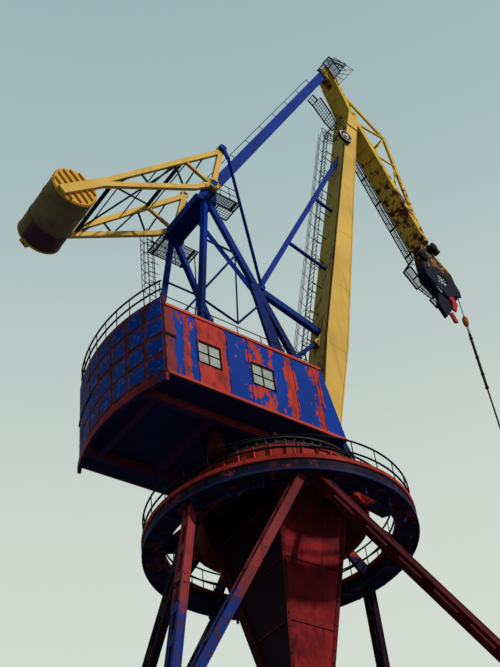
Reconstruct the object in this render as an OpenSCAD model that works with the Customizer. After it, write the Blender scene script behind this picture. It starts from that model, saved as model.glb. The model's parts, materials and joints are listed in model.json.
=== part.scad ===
// Level-luffing portal crane at 1:10: a lattice-strutted portal with a ring,
// a turning column with a machine house, an A-frame, a double-link jib and a
// drum counterweight on a rocking lever. Millimetres, +Z up. The origin is on
// the slewing axis at ground level and the jib points along +X.

/* [Portal] */
// Level of the ring walkway above the ground
ring_z = 1160; // [1100:1:1220]
// Outer radius of the ring walkway
ring_r = 500; // [480:1:520]
// Width of the ring walkway
ring_w = 72; // [60:1:90]
// Depth of the ring beam
ring_deep = 46; // [35:1:55]
// Half the distance between two neighbouring portal feet
foot_half = 610; // [560:1:660]
// Height of a portal foot up to the sill beams' top
foot_h = 175; // [150:1:200]
// Side of a square portal foot post
foot_w = 62; // [50:1:80]
// Turn of the portal about the slewing axis
portal_turn = -20; // [-30:1:30]
// Depth of a portal strut
strut_deep = 40; // [30:1:46]
// Width of a portal strut
strut_w = 38; // [28:1:44]
// Diameter of a travelling wheel
wheel_d = 56; // [46:1:64]

/* [Column] */
// Outer radius of the roller ring that guides the column
roller_r = 330; // [320:1:340]
// Wall of the roller ring
roller_wall = 22; // [15:1:30]
// Level of the pin rack's top
rack_top = 1378; // [1365:1:1385]
// Level of the column's foot
column_foot_z = 430; // [400:1:460]
// Length of the column's foot along the jib
column_foot_x = 140; // [100:1:160]
// Width of the column's foot across the jib
column_foot_y = 64; // [60:1:90]
// Length of the column's head along the jib
column_head_x = 370; // [300:1:400]
// Width of the column's head across the jib
column_head_y = 500; // [400:1:520]
// Depth that the column's rear and front webs lie back from the flanges
column_recess = 16; // [8:1:24]
// Thickness of the column's side plates
column_plate = 18; // [10:1:26]
// Diameter of the pivot under the column
pivot_d = 44; // [36:1:52]

/* [Machine house] */
// Level of the house floor
floor_z = 1456; // [1455:1:1470]
// Height of the house wall
house_h = 334; // [310:1:350]
// Half of the house width
house_half = 302; // [280:1:320]
// Radius of the curved rear wall
house_r = 729; // [700:1:760]
// Forward end of the side wall at the floor
house_front = 132; // [110:1:150]
// Set-back of the front wall at the roof
front_lean = 72; // [40:1:100]
// Thickness of a house wall
wall_t = 8; // [6:1:14]
// Rise of the rear parapet above the roof
parapet_h = 38; // [20:1:60]
// Width of a window
window_w = 102; // [80:1:110]
// Height of a window
window_h = 102; // [80:1:110]
// Distance from the front wall's foot to the first window's centre
window_1 = 370; // [350:1:390]
// Distance from the front wall's foot to the second window's centre
window_2 = 612; // [590:1:630]
// Depth of the platform beams
platform_deep = 34; // [24:1:44]
// Half of the platform width
platform_half = 190; // [184:1:196]
// Forward end of the platform
platform_front = 375; // [360:1:400]

/* [A-frame] */
// Place of the head shaft along the jib
head_x = -250; // [-256:1:-244]
// Level of the head shaft
head_z = 2888; // [2880:1:2896]
// Place of the rear leg's foot along the jib
rear_foot_x = -424; // [-440:1:-400]
// Place of the front leg's foot along the jib
front_foot_x = 254; // [245:1:265]
// Distance of a leg from the middle plane
leg_y = 132; // [128:1:132]
// Depth of an A-frame leg
leg_deep = 26; // [20:1:30]
// Width of an A-frame leg
leg_w = 22; // [16:1:22]
// Diameter of the head shaft
shaft_d = 36; // [30:1:42]

/* [Boom] */
// Place of the boom's foot pin along the jib
boom_x = 280; // [270:1:290]
// Level of the boom's foot pin
boom_z = 1640; // [1620:1:1660]
// Place of the boom's head pin along the jib
boom_head_x = 1005; // [990:1:1020]
// Level of the boom's head pin
boom_head_z = 4490; // [4450:1:4530]
// Width of the boom
boom_w = 130; // [128:1:132]
// Depth of the boom at its foot
boom_foot_deep = 84; // [70:1:100]
// Greatest depth of the boom
boom_deep = 124; // [110:1:136]
// Depth of the boom at its head
boom_head_deep = 74; // [60:1:90]
// Diameter of a boom pin
pin_d = 30; // [24:1:34]
// Place of the horn's tip along the jib
horn_x = 72; // [66:1:78]
// Level of the horn's tip
horn_z = 2505; // [2498:1:2512]

// Place of the guide sheave along the jib
sheave_2_x = 855; // [848:1:862]
// Level of the guide sheave
sheave_2_z = 4128; // [4110:1:4145]

/* [Jib] */
// Place of the tie pin on the jib's tail
tail_x = 885; // [880:1:890]
// Level of the tie pin on the jib's tail
tail_z = 4895; // [4880:1:4910]
// Width of the jib
jib_w = 116; // [110:1:118]
// Place of the jib box's end along the jib
sheave_x = 1290; // [1285:1:1300]
// Level of the jib nose's underside
sheave_z = 3345; // [3340:1:3355]
// Diameter of the nose sheave
nose_d = 64; // [56:1:72]
// Level of the nose sheave's axle
nose_z = 3222; // [3212:1:3232]
// Place of the hoist rope along the jib
rope_x = 1572; // [1566:1:1578]
// Level of the ball weight on the hoist rope
ball_z = 3036; // [3000:1:3060]
// Length of the hoist rope, the sling and the hook below the nose
rope_len = 1180; // [1000:1:1300]
// Depth of the tie
tie_deep = 54; // [46:1:58]
// Width of the tie
tie_w = 40; // [34:1:40]

/* [Counterweight] */
// Place of the counterweight's axis along the jib
drum_x = -948; // [-955:1:-940]
// Level of the counterweight's axis
drum_z = 2425; // [2418:1:2432]
// Diameter of the counterweight drum
drum_d = 194; // [180:1:204]
// Place of the lever's tip along the jib
tip_x = -178; // [-184:1:-172]
// Level of the lever's tip
tip_z = 3190; // [3180:1:3200]
// Distance of a lever frame from the middle plane
lever_y = 158; // [158:1:164]
// Width of a lever chord
lever_w = 18; // [14:1:20]

/* [Luffing gear] */
// Place of the luffing rack's pin along the jib
luff_x = 368; // [364:1:372]
// Level of the luffing rack's pin
luff_z = 2309; // [2304:1:2314]
// Place of the rack guide's pivot along the jib
guide_x = 70; // [66:1:74]
// Level of the rack guide's pivot
guide_z = 1987; // [1980:1:1992]
// Depth of the luffing rack
luff_deep = 18; // [14:1:22]
// Length of the luffing rack
rack_len = 664; // [660:1:668]

/* [Hidden] */
$fn = 48;
run_gap = 0.05;
side_gap = 6;
rail_h = 100;
rail_d = 4;
roof_z = floor_z + house_h;
beam_low = floor_z - platform_deep;
ring_in = ring_r - ring_w;
ring_low = ring_z - ring_deep;
roller_low = ring_z + 30;
foot_r = foot_half * sqrt(2);
rack_low = rack_top - 32;
// Struts as [azimuth of the head on the ring, number of the foot]
strut_heads = [[240, 2], [190, 2], [248, 3], [6, 0], [58, 0], [194, 1], [85, 1]];
boom_len = norm([boom_head_x - boom_x, boom_head_z - boom_z]);
boom_tilt = atan2(boom_head_z - boom_z, boom_head_x - boom_x);
boom_wide_at = 700;
boom_end = boom_len - 96;
house_rear = sqrt(house_r * house_r - house_half * house_half);
window_z = floor_z + 162;
lug_t = 14;
lug_y = boom_w / 2 + side_gap;
leg_foot_y = 181;
leg_meet = [head_x - 36, head_z - 81];
lever_in = lever_y - lever_w / 2;
elbow = [drum_x + 121, drum_z + 103];
rod_y = lever_y + lever_w / 2 + 8;
horn_w = 26;
slot_half = 22;
// Jib's underside and topside in the side view, from the tail to the nose
jib_under = [[tail_x + 8, tail_z + 65], [tail_x + 43, tail_z - 56], [boom_head_x, boom_head_z],
             [sheave_x + 64, sheave_z + 183]];
jib_top = [[sheave_x + 93, sheave_z + 193], [boom_head_x + 28, boom_head_z + 10],
           [tail_x + 72, tail_z - 49], [tail_x + 37, tail_z + 72]];
rope_d = 5;
nose_x = rope_x - (nose_d + rope_d) / 2;
rack_way = [guide_x - luff_x, guide_z - luff_z] / norm([guide_x - luff_x, guide_z - luff_z]);
roof_front = house_front - front_lean * (house_h - wall_t) / house_h;

// Box beam from p to q, w deep in its upright plane and h wide across it
module beam(p, q, w, h) {
  v = q - p;
  len = norm(v);
  translate(p)
    rotate([0, acos(v[2] / len), atan2(v[1], v[0])])
      translate([-w / 2, -h / 2, 0])
        cube([w, h, len]);
}

// Round bar of few sides from p to q
module bar(p, q, d, sides = 6) {
  v = q - p;
  len = norm(v);
  translate(p)
    rotate([0, acos(v[2] / len), atan2(v[1], v[0])])
      cylinder(d = d, h = len, $fn = sides);
}

// Cylinder along Y, centred on y, at a point of the side view
module disc(x, z, d, len, y = 0) {
  translate([x, y + len / 2, z])
    rotate([90, 0, 0])
      cylinder(d = d, h = len);
}

// Side-view outline extruded across the middle plane, centred on y
module slab(points, len, y = 0) {
  translate([0, y + len / 2, 0])
    rotate([90, 0, 0])
      linear_extrude(height = len)
        polygon(points);
}

// Ring of rectangular section about the slewing axis
module ring(r_out, r_in, z_low, z_high) {
  translate([0, 0, z_low])
    difference() {
      cylinder(r = r_out, h = z_high - z_low, $fn = 96);
      translate([0, 0, -1])
        cylinder(r = r_in, h = z_high - z_low + 2, $fn = 96);
    }
}

// All that lies between two levels
module between(z_low, z_high) {
  intersection() {
    translate([-1500, -1500, z_low]) cube([3000, 3000, z_high - z_low]);
    union() children();
  }
}

// Straight railing from p to q: posts, a top rail and a knee rail
module railing(p, q, posts, h = rail_h, up = [0, 0, 1]) {
  end = (q - p) / norm(q - p) * rail_d / 2;
  for (i = [0 : posts])
    bar(p + (q - p) * i / posts, p + (q - p) * i / posts + up * h, rail_d);
  for (level = [0.5, 1])
    bar(p + up * h * level - end, q + up * h * level + end, rail_d);
}

// Point in the side view at s along the boom and d in front of its centreline
function on_boom(s, d) = [
  boom_x + s * cos(boom_tilt) + d * sin(boom_tilt),
  boom_z + s * sin(boom_tilt) - d * cos(boom_tilt)];

// Half of the boom's depth at s
function boom_half(s) = s < boom_wide_at
  ? (boom_foot_deep + (boom_deep - boom_foot_deep) * s / boom_wide_at) / 2
  : (boom_deep + (boom_head_deep - boom_deep) * (s - boom_wide_at) / (boom_end - boom_wide_at)) / 2;

// Distance of an A-frame leg from the middle plane at a level
function leg_plane(z) = leg_y + (leg_foot_y - leg_y) * (leg_meet[1] - z) / (leg_meet[1] - roof_z);

function at(p, y) = [p[0], y, p[1]];

// Portal

module at_feet() {
  for (i = [0 : 3])
    rotate([0, 0, portal_turn + 45 + 90 * i])
      translate([foot_r, 0, 0])
        rotate([0, 0, 45])
          children();
}

module foot_post() {
  translate([-foot_w / 2, -foot_w / 2, wheel_d + 31])
    cube([foot_w, foot_w, foot_h - wheel_d - 31]);
}

module feet() color("#1d2030") at_feet() {
  foot_post();
  translate([-foot_w * 1.6, -22, wheel_d + 5]) cube([foot_w * 3.2, 44, 26]);
  translate([-16, -22, 0]) cube([32, 44, wheel_d + 6]);
  for (side = [-1, 1], cheek = [-1, 1])
    difference() {
      translate([side * foot_w * 1.1 - 12, cheek * 15 - 5, wheel_d / 2 - 10])
        cube([24, 10, wheel_d / 2 + 15]);
      disc(side * foot_w * 1.1, wheel_d / 2, 12, 50);
    }
}

module wheels() color("#4a4a4d") at_feet() {
  for (side = [-1, 1]) {
    disc(side * foot_w * 1.1, wheel_d / 2, wheel_d, 16);
    disc(side * foot_w * 1.1, wheel_d / 2, 12, 42);
  }
}

module sill_frame() color("#20263c") {
  for (i = [0 : 3])
    rotate([0, 0, portal_turn + 90 * i])
      translate([foot_half - foot_w * 0.4, -foot_half + foot_w / 2, foot_h - 66])
        cube([foot_w * 0.8, foot_half * 2 - foot_w, 60]);
  difference() {
    for (i = [0 : 3])
      rotate([0, 0, portal_turn + 45 + 90 * i])
        translate([50, -20, foot_h - 62])
          cube([foot_r - 60, 40, 52]);
    at_feet() foot_post();
    translate([0, 0, foot_h - 63]) cylinder(r = 70, h = 54);
  }
}

module pivot_stand() color("#20263c") {
  difference() {
    union() {
      translate([0, 0, foot_h - 62]) cylinder(r = 70, h = 52);
      translate([0, 0, foot_h - 12]) cylinder(r = 52, h = column_foot_z - foot_h + 6);
    }
    translate([0, 0, column_foot_z - 46])
      cylinder(d = pivot_d + 2 * run_gap, h = 60);
  }
}

module portal_struts() color("#962b26") between(foot_h, ring_low) {
  for (strut = strut_heads) {
    turn = portal_turn + 45 + 90 * strut[1];
    foot = [(foot_r - 6) * cos(turn), (foot_r - 6) * sin(turn), foot_h];
    head = [(ring_in + 30) * cos(strut[0]), (ring_in + 30) * sin(strut[0]), ring_low];
    step = (head - foot) / norm(head - foot) * 40;
    beam(foot - step, head + step, strut_deep, strut_w);
  }
}

module ring_beam() color("#8e2c28") ring(ring_r, ring_in, ring_low, ring_z);

module roller_ring() color("#a8322c") {
  ring(roller_r, roller_r - roller_wall, roller_low, rack_low);
  difference() {
    for (i = [0 : 11])
      rotate([0, 0, 30 * i])
        slab([[ring_in + 6, ring_low + 4], [ring_in + 6, ring_z - 4], [roller_r - 9, roller_low + 60],
              [roller_r - 9, roller_low], [ring_in - 40, ring_low + 4]], 12);
    ring(ring_r, ring_in, ring_low - 1, ring_z + 1);
    cylinder(r = roller_r - roller_wall, h = rack_low);
  }
}

module pin_rack() color("#232427") {
  ring(roller_r + 6, roller_r - 12, rack_low, rack_low + 6);
  ring(roller_r + 6, roller_r - 12, rack_top - 6, rack_top);
  for (i = [0 : 59])
    rotate([0, 0, 6 * i])
      translate([roller_r - 3, 0, rack_low + 4])
        cylinder(d = 10, h = 24, $fn = 6);
}

module ring_railing() color("#1c1f26") {
  for (r = [ring_r - 4, ring_in + 4]) {
    for (i = [0 : 29])
      rotate([0, 0, 12 * i])
        translate([r, 0, ring_z])
          cylinder(d = rail_d, h = rail_h - 2, $fn = 6);
    for (level = [0.5, 1])
      ring(r + rail_d / 2 + 1, r - rail_d / 2 - 1, ring_z + rail_h * level - rail_d,
           ring_z + rail_h * level);
  }
}

// Turning column and platform

// Tapered block between the column's foot and head, cut to a share of each
module column_block(foot_x, foot_y, head_x, head_y, y_foot = 0, y_head = 0) {
  hull() {
    translate([-foot_x / 2, y_foot - foot_y / 2, column_foot_z]) cube([foot_x, foot_y, 1]);
    translate([-head_x / 2, y_head - head_y / 2, beam_low - 1]) cube([head_x, head_y, 1]);
  }
}

module column() color("#8c1f27") {
  column_block(column_foot_x - 2 * column_recess, column_foot_y - column_plate,
               column_head_x - 2 * column_recess, column_head_y - column_plate);
  for (side = [-1, 1])
    column_block(column_foot_x, column_plate, column_head_x, column_plate,
                 side * (column_foot_y - column_plate) / 2, side * (column_head_y - column_plate) / 2);
  translate([0, 0, column_foot_z - 42]) cylinder(d = pivot_d, h = 43);
}

module platform() color("#9b2d25") {
  rear = 30 - house_r;
  for (y = [-platform_half, platform_half])
    translate([rear, y - 12, beam_low])
      cube([platform_front - rear, 24, platform_deep]);
  for (y = [-lug_y - lug_t / 2, lug_y + lug_t / 2])
    translate([140, y - 9, beam_low])
      cube([platform_front - 140, 18, platform_deep]);
  for (x = [4 - house_rear, -420, -170, 140, platform_front - 24])
    translate([x, -platform_half - 12, beam_low])
      cube([24, 2 * platform_half + 24, platform_deep]);
  intersection() {
    ring(house_r + 8, house_r - 6, beam_low, floor_z);
    translate([-house_r - 20, -house_half, beam_low]) cube([house_r + 24 - house_rear, 2 * house_half, 60]);
  }
  for (side = [-1, 1])
    difference() {
      slab([[boom_x - 70, floor_z - 4], [boom_x + 80, floor_z - 4], [boom_x + 34, boom_z + 22],
            [boom_x + 12, boom_z + 34], [boom_x - 12, boom_z + 34], [boom_x - 34, boom_z + 22]],
           lug_t, side * (lug_y + lug_t / 2));
      disc(boom_x, boom_z, pin_d + 2 * run_gap, lug_t + 4, side * (lug_y + lug_t / 2));
    }
}

module slewing_drive() color("#a4342a") {
  rotate([0, 0, 200])
    translate([roller_r + 45, 0, rack_low - 2]) {
      cylinder(d = 66, h = 40);
      translate([0, 0, 39]) cylinder(d = 40, h = floor_z - rack_low - 37);
    }
}

// Machine house

module house_floor() color("#1b2138") {
  translate([0, 0, floor_z])
    linear_extrude(height = wall_t)
      intersection() {
        circle(r = house_r, $fn = 96);
        translate([-house_r - 20, -house_half])
          square([house_r + 20 + house_front, 2 * house_half]);
      }
}

module side_wall(side) {
  y = side * (house_half - wall_t / 2);
  difference() {
    slab([[-house_rear + 4, floor_z + wall_t], [house_front, floor_z + wall_t],
          [roof_front, roof_z - wall_t], [-house_rear + 4, roof_z - wall_t]], wall_t, y);
    for (x = [window_1, window_2])
      translate([house_front - x - window_w / 2, y - wall_t, window_z - window_h / 2])
        cube([window_w, wall_t * 2, window_h]);
  }
}

module side_wall_right() color("#28479b") side_wall(-1);

module side_wall_left() color("#28479b") side_wall(1);

module rear_wall() color("#2b4a9e") {
  translate([0, 0, floor_z + wall_t])
    linear_extrude(height = house_h - wall_t + parapet_h)
      difference() {
        intersection() {
          circle(r = house_r, $fn = 96);
          translate([-house_r - 20, -house_half]) square([house_r + 24 - house_rear, 2 * house_half]);
        }
        circle(r = house_r - wall_t, $fn = 96);
      }
}

module front_wall() color("#28479b") {
  slab([[house_front - wall_t, floor_z + wall_t], [house_front, floor_z + wall_t],
        [roof_front, roof_z - wall_t], [roof_front - wall_t, roof_z - wall_t]],
       2 * (house_half - wall_t));
}

module house_roof() color("#b5402c") {
  translate([0, 0, roof_z - wall_t])
    linear_extrude(height = wall_t)
      intersection() {
        circle(r = house_r - wall_t, $fn = 96);
        translate([-house_r - 20, -house_half])
          square([house_r + 20 + roof_front, 2 * house_half]);
      }
}

module windows() color("#a9bcb4") {
  for (side = [-1, 1], x = [window_1, window_2])
    translate([house_front - x - window_w / 2, side * (house_half - wall_t / 2) - 1,
               window_z - window_h / 2])
      cube([window_w, 2, window_h]);
}

module roof_railing() color("#1d1f24") {
  for (side = [-1, 1])
    railing([-house_rear + 30, side * (house_half - 50), roof_z],
            [roof_front - 14, side * (house_half - 50), roof_z], 6);
  reach = asin((house_half - 14) / house_r);
  rail_r = house_r - wall_t / 2;
  base = roof_z + parapet_h;
  rise = rail_h - 12;
  for (i = [-4 : 4])
    rotate([0, 0, 180 + reach * i / 4])
      translate([rail_r, 0, base])
        cylinder(d = rail_d, h = rise - 2, $fn = 6);
  intersection() {
    union()
      for (level = [0.5, 1])
        ring(rail_r + rail_d / 2 + 1, rail_r - rail_d / 2 - 1, base + rise * level - rail_d,
             base + rise * level);
    translate([-house_r, 10 - house_half, roof_z])
      cube([house_r + 20 - house_rear, 2 * house_half - 20, 300]);
  }
}

// A-frame

function leg_at(foot_x, foot_level, z) =
  [leg_meet[0] + (foot_x - leg_meet[0]) * (leg_meet[1] - z) / (leg_meet[1] - foot_level), z];

function front_leg(z) = leg_at(front_foot_x, floor_z, z);

function rear_leg(z) = leg_at(rear_foot_x, roof_z, z);

// Bar in the sloping plane of one side of the A-frame
module frame_bar(p, q, d, side) {
  bar(at(p, side * leg_plane(p[1])), at(q, side * leg_plane(q[1])), d);
}

module frame_legs(side) {
  between(floor_z, leg_meet[1])
    beam(at(front_leg(floor_z - 40), side * leg_plane(floor_z - 40)),
         at(front_leg(leg_meet[1] + 20), side * leg_y), leg_deep, leg_w);
  between(roof_z, leg_meet[1])
    beam(at(rear_leg(roof_z - 40), side * leg_plane(roof_z - 40)),
         at(rear_leg(leg_meet[1] + 20), side * leg_y), leg_deep, leg_w);
}

module frame_side(side) {
  frame_legs(side);
  knee = [head_x + 34, head_z - 875];
  frame_bar(rear_leg(2115), front_leg(2480), 10, side);
  frame_bar(rear_leg(2072), knee, 10, side);
  frame_bar(knee, front_leg(2227), 10, side);
  frame_bar(knee, [knee[0] + 51, 2480], 7, side);
  frame_bar(rear_leg(2480), front_leg(2480), 10, side);
  slab([[roof_front - 82, roof_z], [roof_front - 2, roof_z], [-84, 2300], [-118, 2300]], 14, side * 162);
  difference() {
    slab([[head_x - 84, head_z - 124], [head_x + 18, head_z - 124], [head_x + 28, head_z - 8],
          [head_x + 18, head_z + 22], [head_x, head_z + 32], [head_x - 22, head_z + 20],
          [head_x - 40, head_z - 18]], leg_w, side * leg_y);
    disc(head_x, head_z, shaft_d, leg_w + 4, side * leg_y);
  }
}

module frame_right() color("#27408f") frame_side(-1);

module frame_left() color("#27408f") frame_side(1);

module frame_head() color("#22387f") {
  disc(head_x, head_z, shaft_d, 2 * (lever_y + lever_w / 2 + 4));
  inner = leg_y - leg_w / 2;
  difference() {
    translate([head_x - 76, -inner, head_z - 120]) cube([88, 2 * inner, 48]);
    for (side = [-1, 1]) frame_legs(side);
  }
}

module head_platform() color("#1c1f26") {
  deck = head_z - 114;
  landing = deck - 390;
  outer = leg_y + leg_w / 2;
  far = outer + 120;
  difference() {
    union() {
      translate([head_x - 45, -outer - 52, deck]) cube([160, 52, 6]);
      translate([head_x + 30, -outer, deck]) cube([85, 60, 6]);
      translate([head_x - 94, outer, deck]) cube([209, 120, 6]);
      bar([head_x - 118, outer + 56, landing], at(rear_leg(landing), leg_plane(landing)), 8);
    }
    for (side = [-1, 1]) frame_legs(side);
  }
  railing([head_x - 43, -outer - 48, deck + 5], [head_x + 113, -outer - 48, deck + 5], 3, rail_h - 14);
  railing([head_x - 92, far - 3, deck + 5], [head_x + 113, far - 3, deck + 5], 4, rail_h - 14);
  for (dx = [-16, 16]) {
    bar([head_x - 118 + dx, outer + 56, deck + 80], [head_x - 118 + dx, outer + 56, landing - 1], 5);
    bar([head_x - 118 + dx, outer + 56, landing], [rear_foot_x - 40 + dx, outer + 56, roof_z], 5.5);
  }
  for (rung = [deck - 390 : 30 : deck + 30])
    bar([head_x - 134, outer + 56, rung], [head_x - 102, outer + 56, rung], 3);
  bar([head_x - 118, outer + 56, deck + 3], [head_x - 90, outer + 56, deck + 3], 5);
}

module guide_stand() color("#1d2b66") {
  for (side = [-1, 1])
    difference() {
      slab([[guide_x - 92, roof_z], [guide_x - 12, roof_z], [guide_x + 22, guide_z + 14],
            [guide_x, guide_z + 26], [guide_x - 22, guide_z + 14]], 12, side * 31);
      disc(guide_x, guide_z, 24 + 2 * run_gap, 20, side * 31);
    }
}

// Boom

module boom_box() {
  slab([on_boom(26, boom_half(26)), on_boom(boom_wide_at, boom_deep / 2),
        on_boom(boom_end, boom_head_deep / 2), on_boom(boom_end, -boom_head_deep / 2),
        on_boom(boom_wide_at, -boom_deep / 2), on_boom(26, -boom_half(26))], boom_w);
}

module boom() color("#c99a2e") {
  boom_box();
  disc(boom_x, boom_z, boom_foot_deep, boom_w);
  disc(boom_x, boom_z, pin_d, 2 * (lug_y + lug_t) + 12);
  cheek = boom_end - 80;
  for (side = [-1, 1]) {
    difference() {
      slab([on_boom(cheek, boom_half(cheek)), on_boom(boom_len + 10, 34), on_boom(boom_len + 32, 14),
            on_boom(boom_len + 32, -14), on_boom(boom_len + 10, -34), on_boom(cheek, -boom_half(cheek))],
           8, side * (boom_w / 2 + 3));
      disc(boom_head_x, boom_head_z, pin_d + 2 * run_gap, 20, side * (boom_w / 2 + 3));
    }
    difference() {
      slab([[luff_x - 14, luff_z + 8], [luff_x - 14, luff_z - 8], [luff_x, luff_z - 14],
            on_boom(640, -boom_half(640) + 4), on_boom(770, -boom_half(770) + 4), [luff_x, luff_z + 14]],
           8, side * 16);
      disc(luff_x, luff_z, 14 + 2 * run_gap, 20, side * 16);
    }
  }
}

module boom_horn() color("#22387f") {
  tip = [horn_x, 0, horn_z];
  low = at(on_boom(764, -30), 0);
  high = at(on_boom(2494, -20), 0);
  disc(horn_x, horn_z, 50, horn_w);
  difference() {
    union() {
      beam(tip, low, 38, horn_w - 3);
      beam(tip, high, 24, horn_w - 6);
      for (s = [0.3, 0.62])
        beam(tip + (high - tip) * s, at(on_boom(764 + (2494 - 764) * s, -20), 0), 12, 14);
    }
    boom_box();
  }
}

module boom_ladder() color("#1b1c20") {
  ladder_y = 42;
  back = -boom_deep / 2 - 46;
  first = 260;
  last = boom_len - 250;
  deck = on_boom(last + 30, -boom_half(last));
  difference() {
    for (s = [first : (last - first) / 11 : last], dy = [-20, 20])
      bar(at(on_boom(s, back), ladder_y + dy), at(on_boom(s, -20), ladder_y + dy), 5);
    boom_box();
  }
  for (dy = [-20, 20])
    bar(at(on_boom(first, back), ladder_y + dy), at(on_boom(last, back), ladder_y + dy), 5);
  for (s = [first + 20 : 40 : last])
    bar(at(on_boom(s, back), ladder_y - 20), at(on_boom(s, back), ladder_y + 20), 3);
  difference() {
    translate([deck[0] - 74, -boom_w / 2, deck[1]]) cube([100, boom_w, 6]);
    boom_box();
  }
  for (y = [-boom_w / 2 + 2, boom_w / 2 - 2])
    railing([deck[0] - 72, y, deck[1] + 6], [deck[0] - 12, y, deck[1] + 6], 2, 84);
}

module guide_sheave() color("#e8e4da") {
  disc(sheave_2_x, sheave_2_z, 95, 14, -boom_w / 2 - 16);
  disc(sheave_2_x, sheave_2_z, 40, 26, -boom_w / 2 - 13);
}

// Jib

module jib_box() {
  slab(concat(jib_under, jib_top), jib_w);
}

module jib() color("#c2952d") {
  difference() {
    union() {
      jib_box();
      disc(boom_head_x, boom_head_z, 60, jib_w);
    }
    translate([tail_x - 60, -slot_half, tail_z - 105]) cube([200, 2 * slot_half, 220]);
  }
  disc(boom_head_x, boom_head_z, pin_d, boom_w + 24);
  for (side = [-1, 1]) {
    slab([[tail_x - 20, tail_z - 14], [tail_x - 4, tail_z - 34], [tail_x + 52, tail_z - 96],
          [tail_x + 70, tail_z - 60], [tail_x + 40, tail_z + 50], [tail_x + 14, tail_z + 60],
          [tail_x - 18, tail_z + 20]], 12, side * (slot_half + 6));
    disc(tail_x, tail_z, 34, 6, side * (slot_half + 15));
  }
}

module jib_truss() color("#c79a30") {
  apex = [boom_head_x + 263, boom_head_z - 42];
  kink = [boom_head_x + 323, boom_head_z - 705];
  toe = [boom_head_x + 372, boom_head_z - 960];
  difference() {
    for (side = [-1, 1]) {
      y = side * (jib_w / 2 - 14);
      beam(at([boom_head_x - 40, boom_head_z + 232], y), at(apex, y), 20, 13);
      beam(at([boom_head_x + 30, boom_head_z - 42], y), at(apex, y), 14, 10);
      beam(at(apex, y), at(kink, y), 22, 15);
      beam(at(kink, y), at(toe, y), 20, 14);
      beam(at([boom_head_x + 120, boom_head_z - 290], y), at(apex, y), 9, 9);
      beam(at([boom_head_x + 120, boom_head_z - 290], y), at(apex + (kink - apex) * 0.4, y), 9, 8);
      beam(at([boom_head_x + 225, boom_head_z - 590], y), at(apex + (kink - apex) * 0.4, y), 9, 7);
      beam(at([boom_head_x + 225, boom_head_z - 590], y), at(kink, y), 9, 9);
    }
    jib_box();
  }
  for (p = [apex, kink])
    disc(p[0], p[1], 18, jib_w - 28);
  difference() {
    union() {
      for (y = [-18, 18])
        disc(boom_head_x + 66, boom_head_z - 32, 44, 10, y);
      disc(boom_head_x + 66, boom_head_z - 32, 18, jib_w - 28);
    }
    jib_box();
  }
}

module jib_walkway() color("#1c1f26") {
  inner = boom_w / 2 + 17;
  run = jib_top[0] - jib_top[1];
  for (s = [0.18 : 0.2 : 0.98]) {
    p = jib_top[1] + run * s - [9, 3];
    beam(at(p, jib_w / 2), at(p, inner + 42), 8, 8);
  }
  rise = [cos(20), 0, sin(20)];
  start = at(jib_top[1] + run * 0.1 - [5, 2], inner + 23);
  stop = at(jib_top[1] + run * 1.02 - [5, 2], inner + 23);
  beam(start, stop, 5, 46);
  railing(start + [0, 19, 0] + rise, stop + [0, 19, 0] + rise, 9, 90, rise);
}

module tail_platform() color("#1c1f26") {
  low = [tail_x + 42, 0, tail_z + 172];
  high = [tail_x + 200, 0, tail_z + 222];
  lift = [-sin(17.6), 0, cos(17.6)];
  beam(low, high, 6, 120);
  difference() {
    for (y = [-40, 40]) {
      beam([tail_x + 27, y, tail_z + 42], low + [20, y, 4], 10, 10);
      beam([tail_x + 44, y, tail_z + 6], low + [110, y, 32], 8, 8);
    }
    jib_box();
  }
  for (y = [-58, 58])
    railing(low + [2, y, 2], high + [-4, y, 0], 3, 110, lift);
  railing(high + [-4, -58, 0], high + [-4, 58, 0], 2, 110, lift);
}

module jib_nose() color("#24262e") {
  stops = [[sheave_x + 8, 80, sheave_z + 38], [sheave_x + 82, 80, sheave_z - 64],
           [sheave_x + 172, 80, sheave_z - 97], [sheave_x + 219, 80, sheave_z - 134]];
  difference() {
    union() {
      for (side = [-1, 1])
        difference() {
          slab([[sheave_x + 40, sheave_z + 215], [sheave_x + 108, sheave_z + 227],
                [sheave_x + 128, sheave_z + 105], [nose_x - 18, nose_z + 130], [nose_x - 6, nose_z + 63],
                [nose_x + 24, nose_z + 8], [nose_x + 18, nose_z - 36], [nose_x - 38, nose_z - 50],
                [nose_x - 98, nose_z - 92], [nose_x - 152, nose_z - 72], [sheave_x + 20, sheave_z - 109],
                [sheave_x + 10, sheave_z - 15], [sheave_x + 35, sheave_z + 75]], 8, side * 30);
          translate([sheave_x + 125, side * 30 - 8, sheave_z - 112]) cube([45, 16, 54]);
        }
      for (p = [[60, 60], [130, -40], [130, 130]])
        disc(sheave_x + p[0], sheave_z + p[1], 20, 58);
      slab([[nose_x - 139, nose_z - 82], [nose_x - 50, nose_z - 44], [nose_x - 91, nose_z - 200],
            [nose_x - 175, nose_z - 240]], 44);
      disc(sheave_x + 115, sheave_z + 155, 44, 48, -50);
    }
    jib_box();
    disc(nose_x, nose_z, 16 + 2 * run_gap, 80);
  }
  for (i = [0 : 2])
    beam(stops[i], stops[i + 1], 5, 40 - i);
  for (p = [stops[1] + [-32, -52, 49], stops[2] + [8, -52, -2]])
    beam(p, p + [0, 60, 0], 7, 7);
  railing(stops[0] + [2, 17, 0], stops[1] + [-2, 17, 0], 2, 60, [-0.8, 0, -0.6]);
  railing(stops[2] + [2, 17, 0], stops[3] + [-2, 17, 0], 2, 60, [-0.62, 0, -0.78]);
}

// Tie, lever and rods

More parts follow.
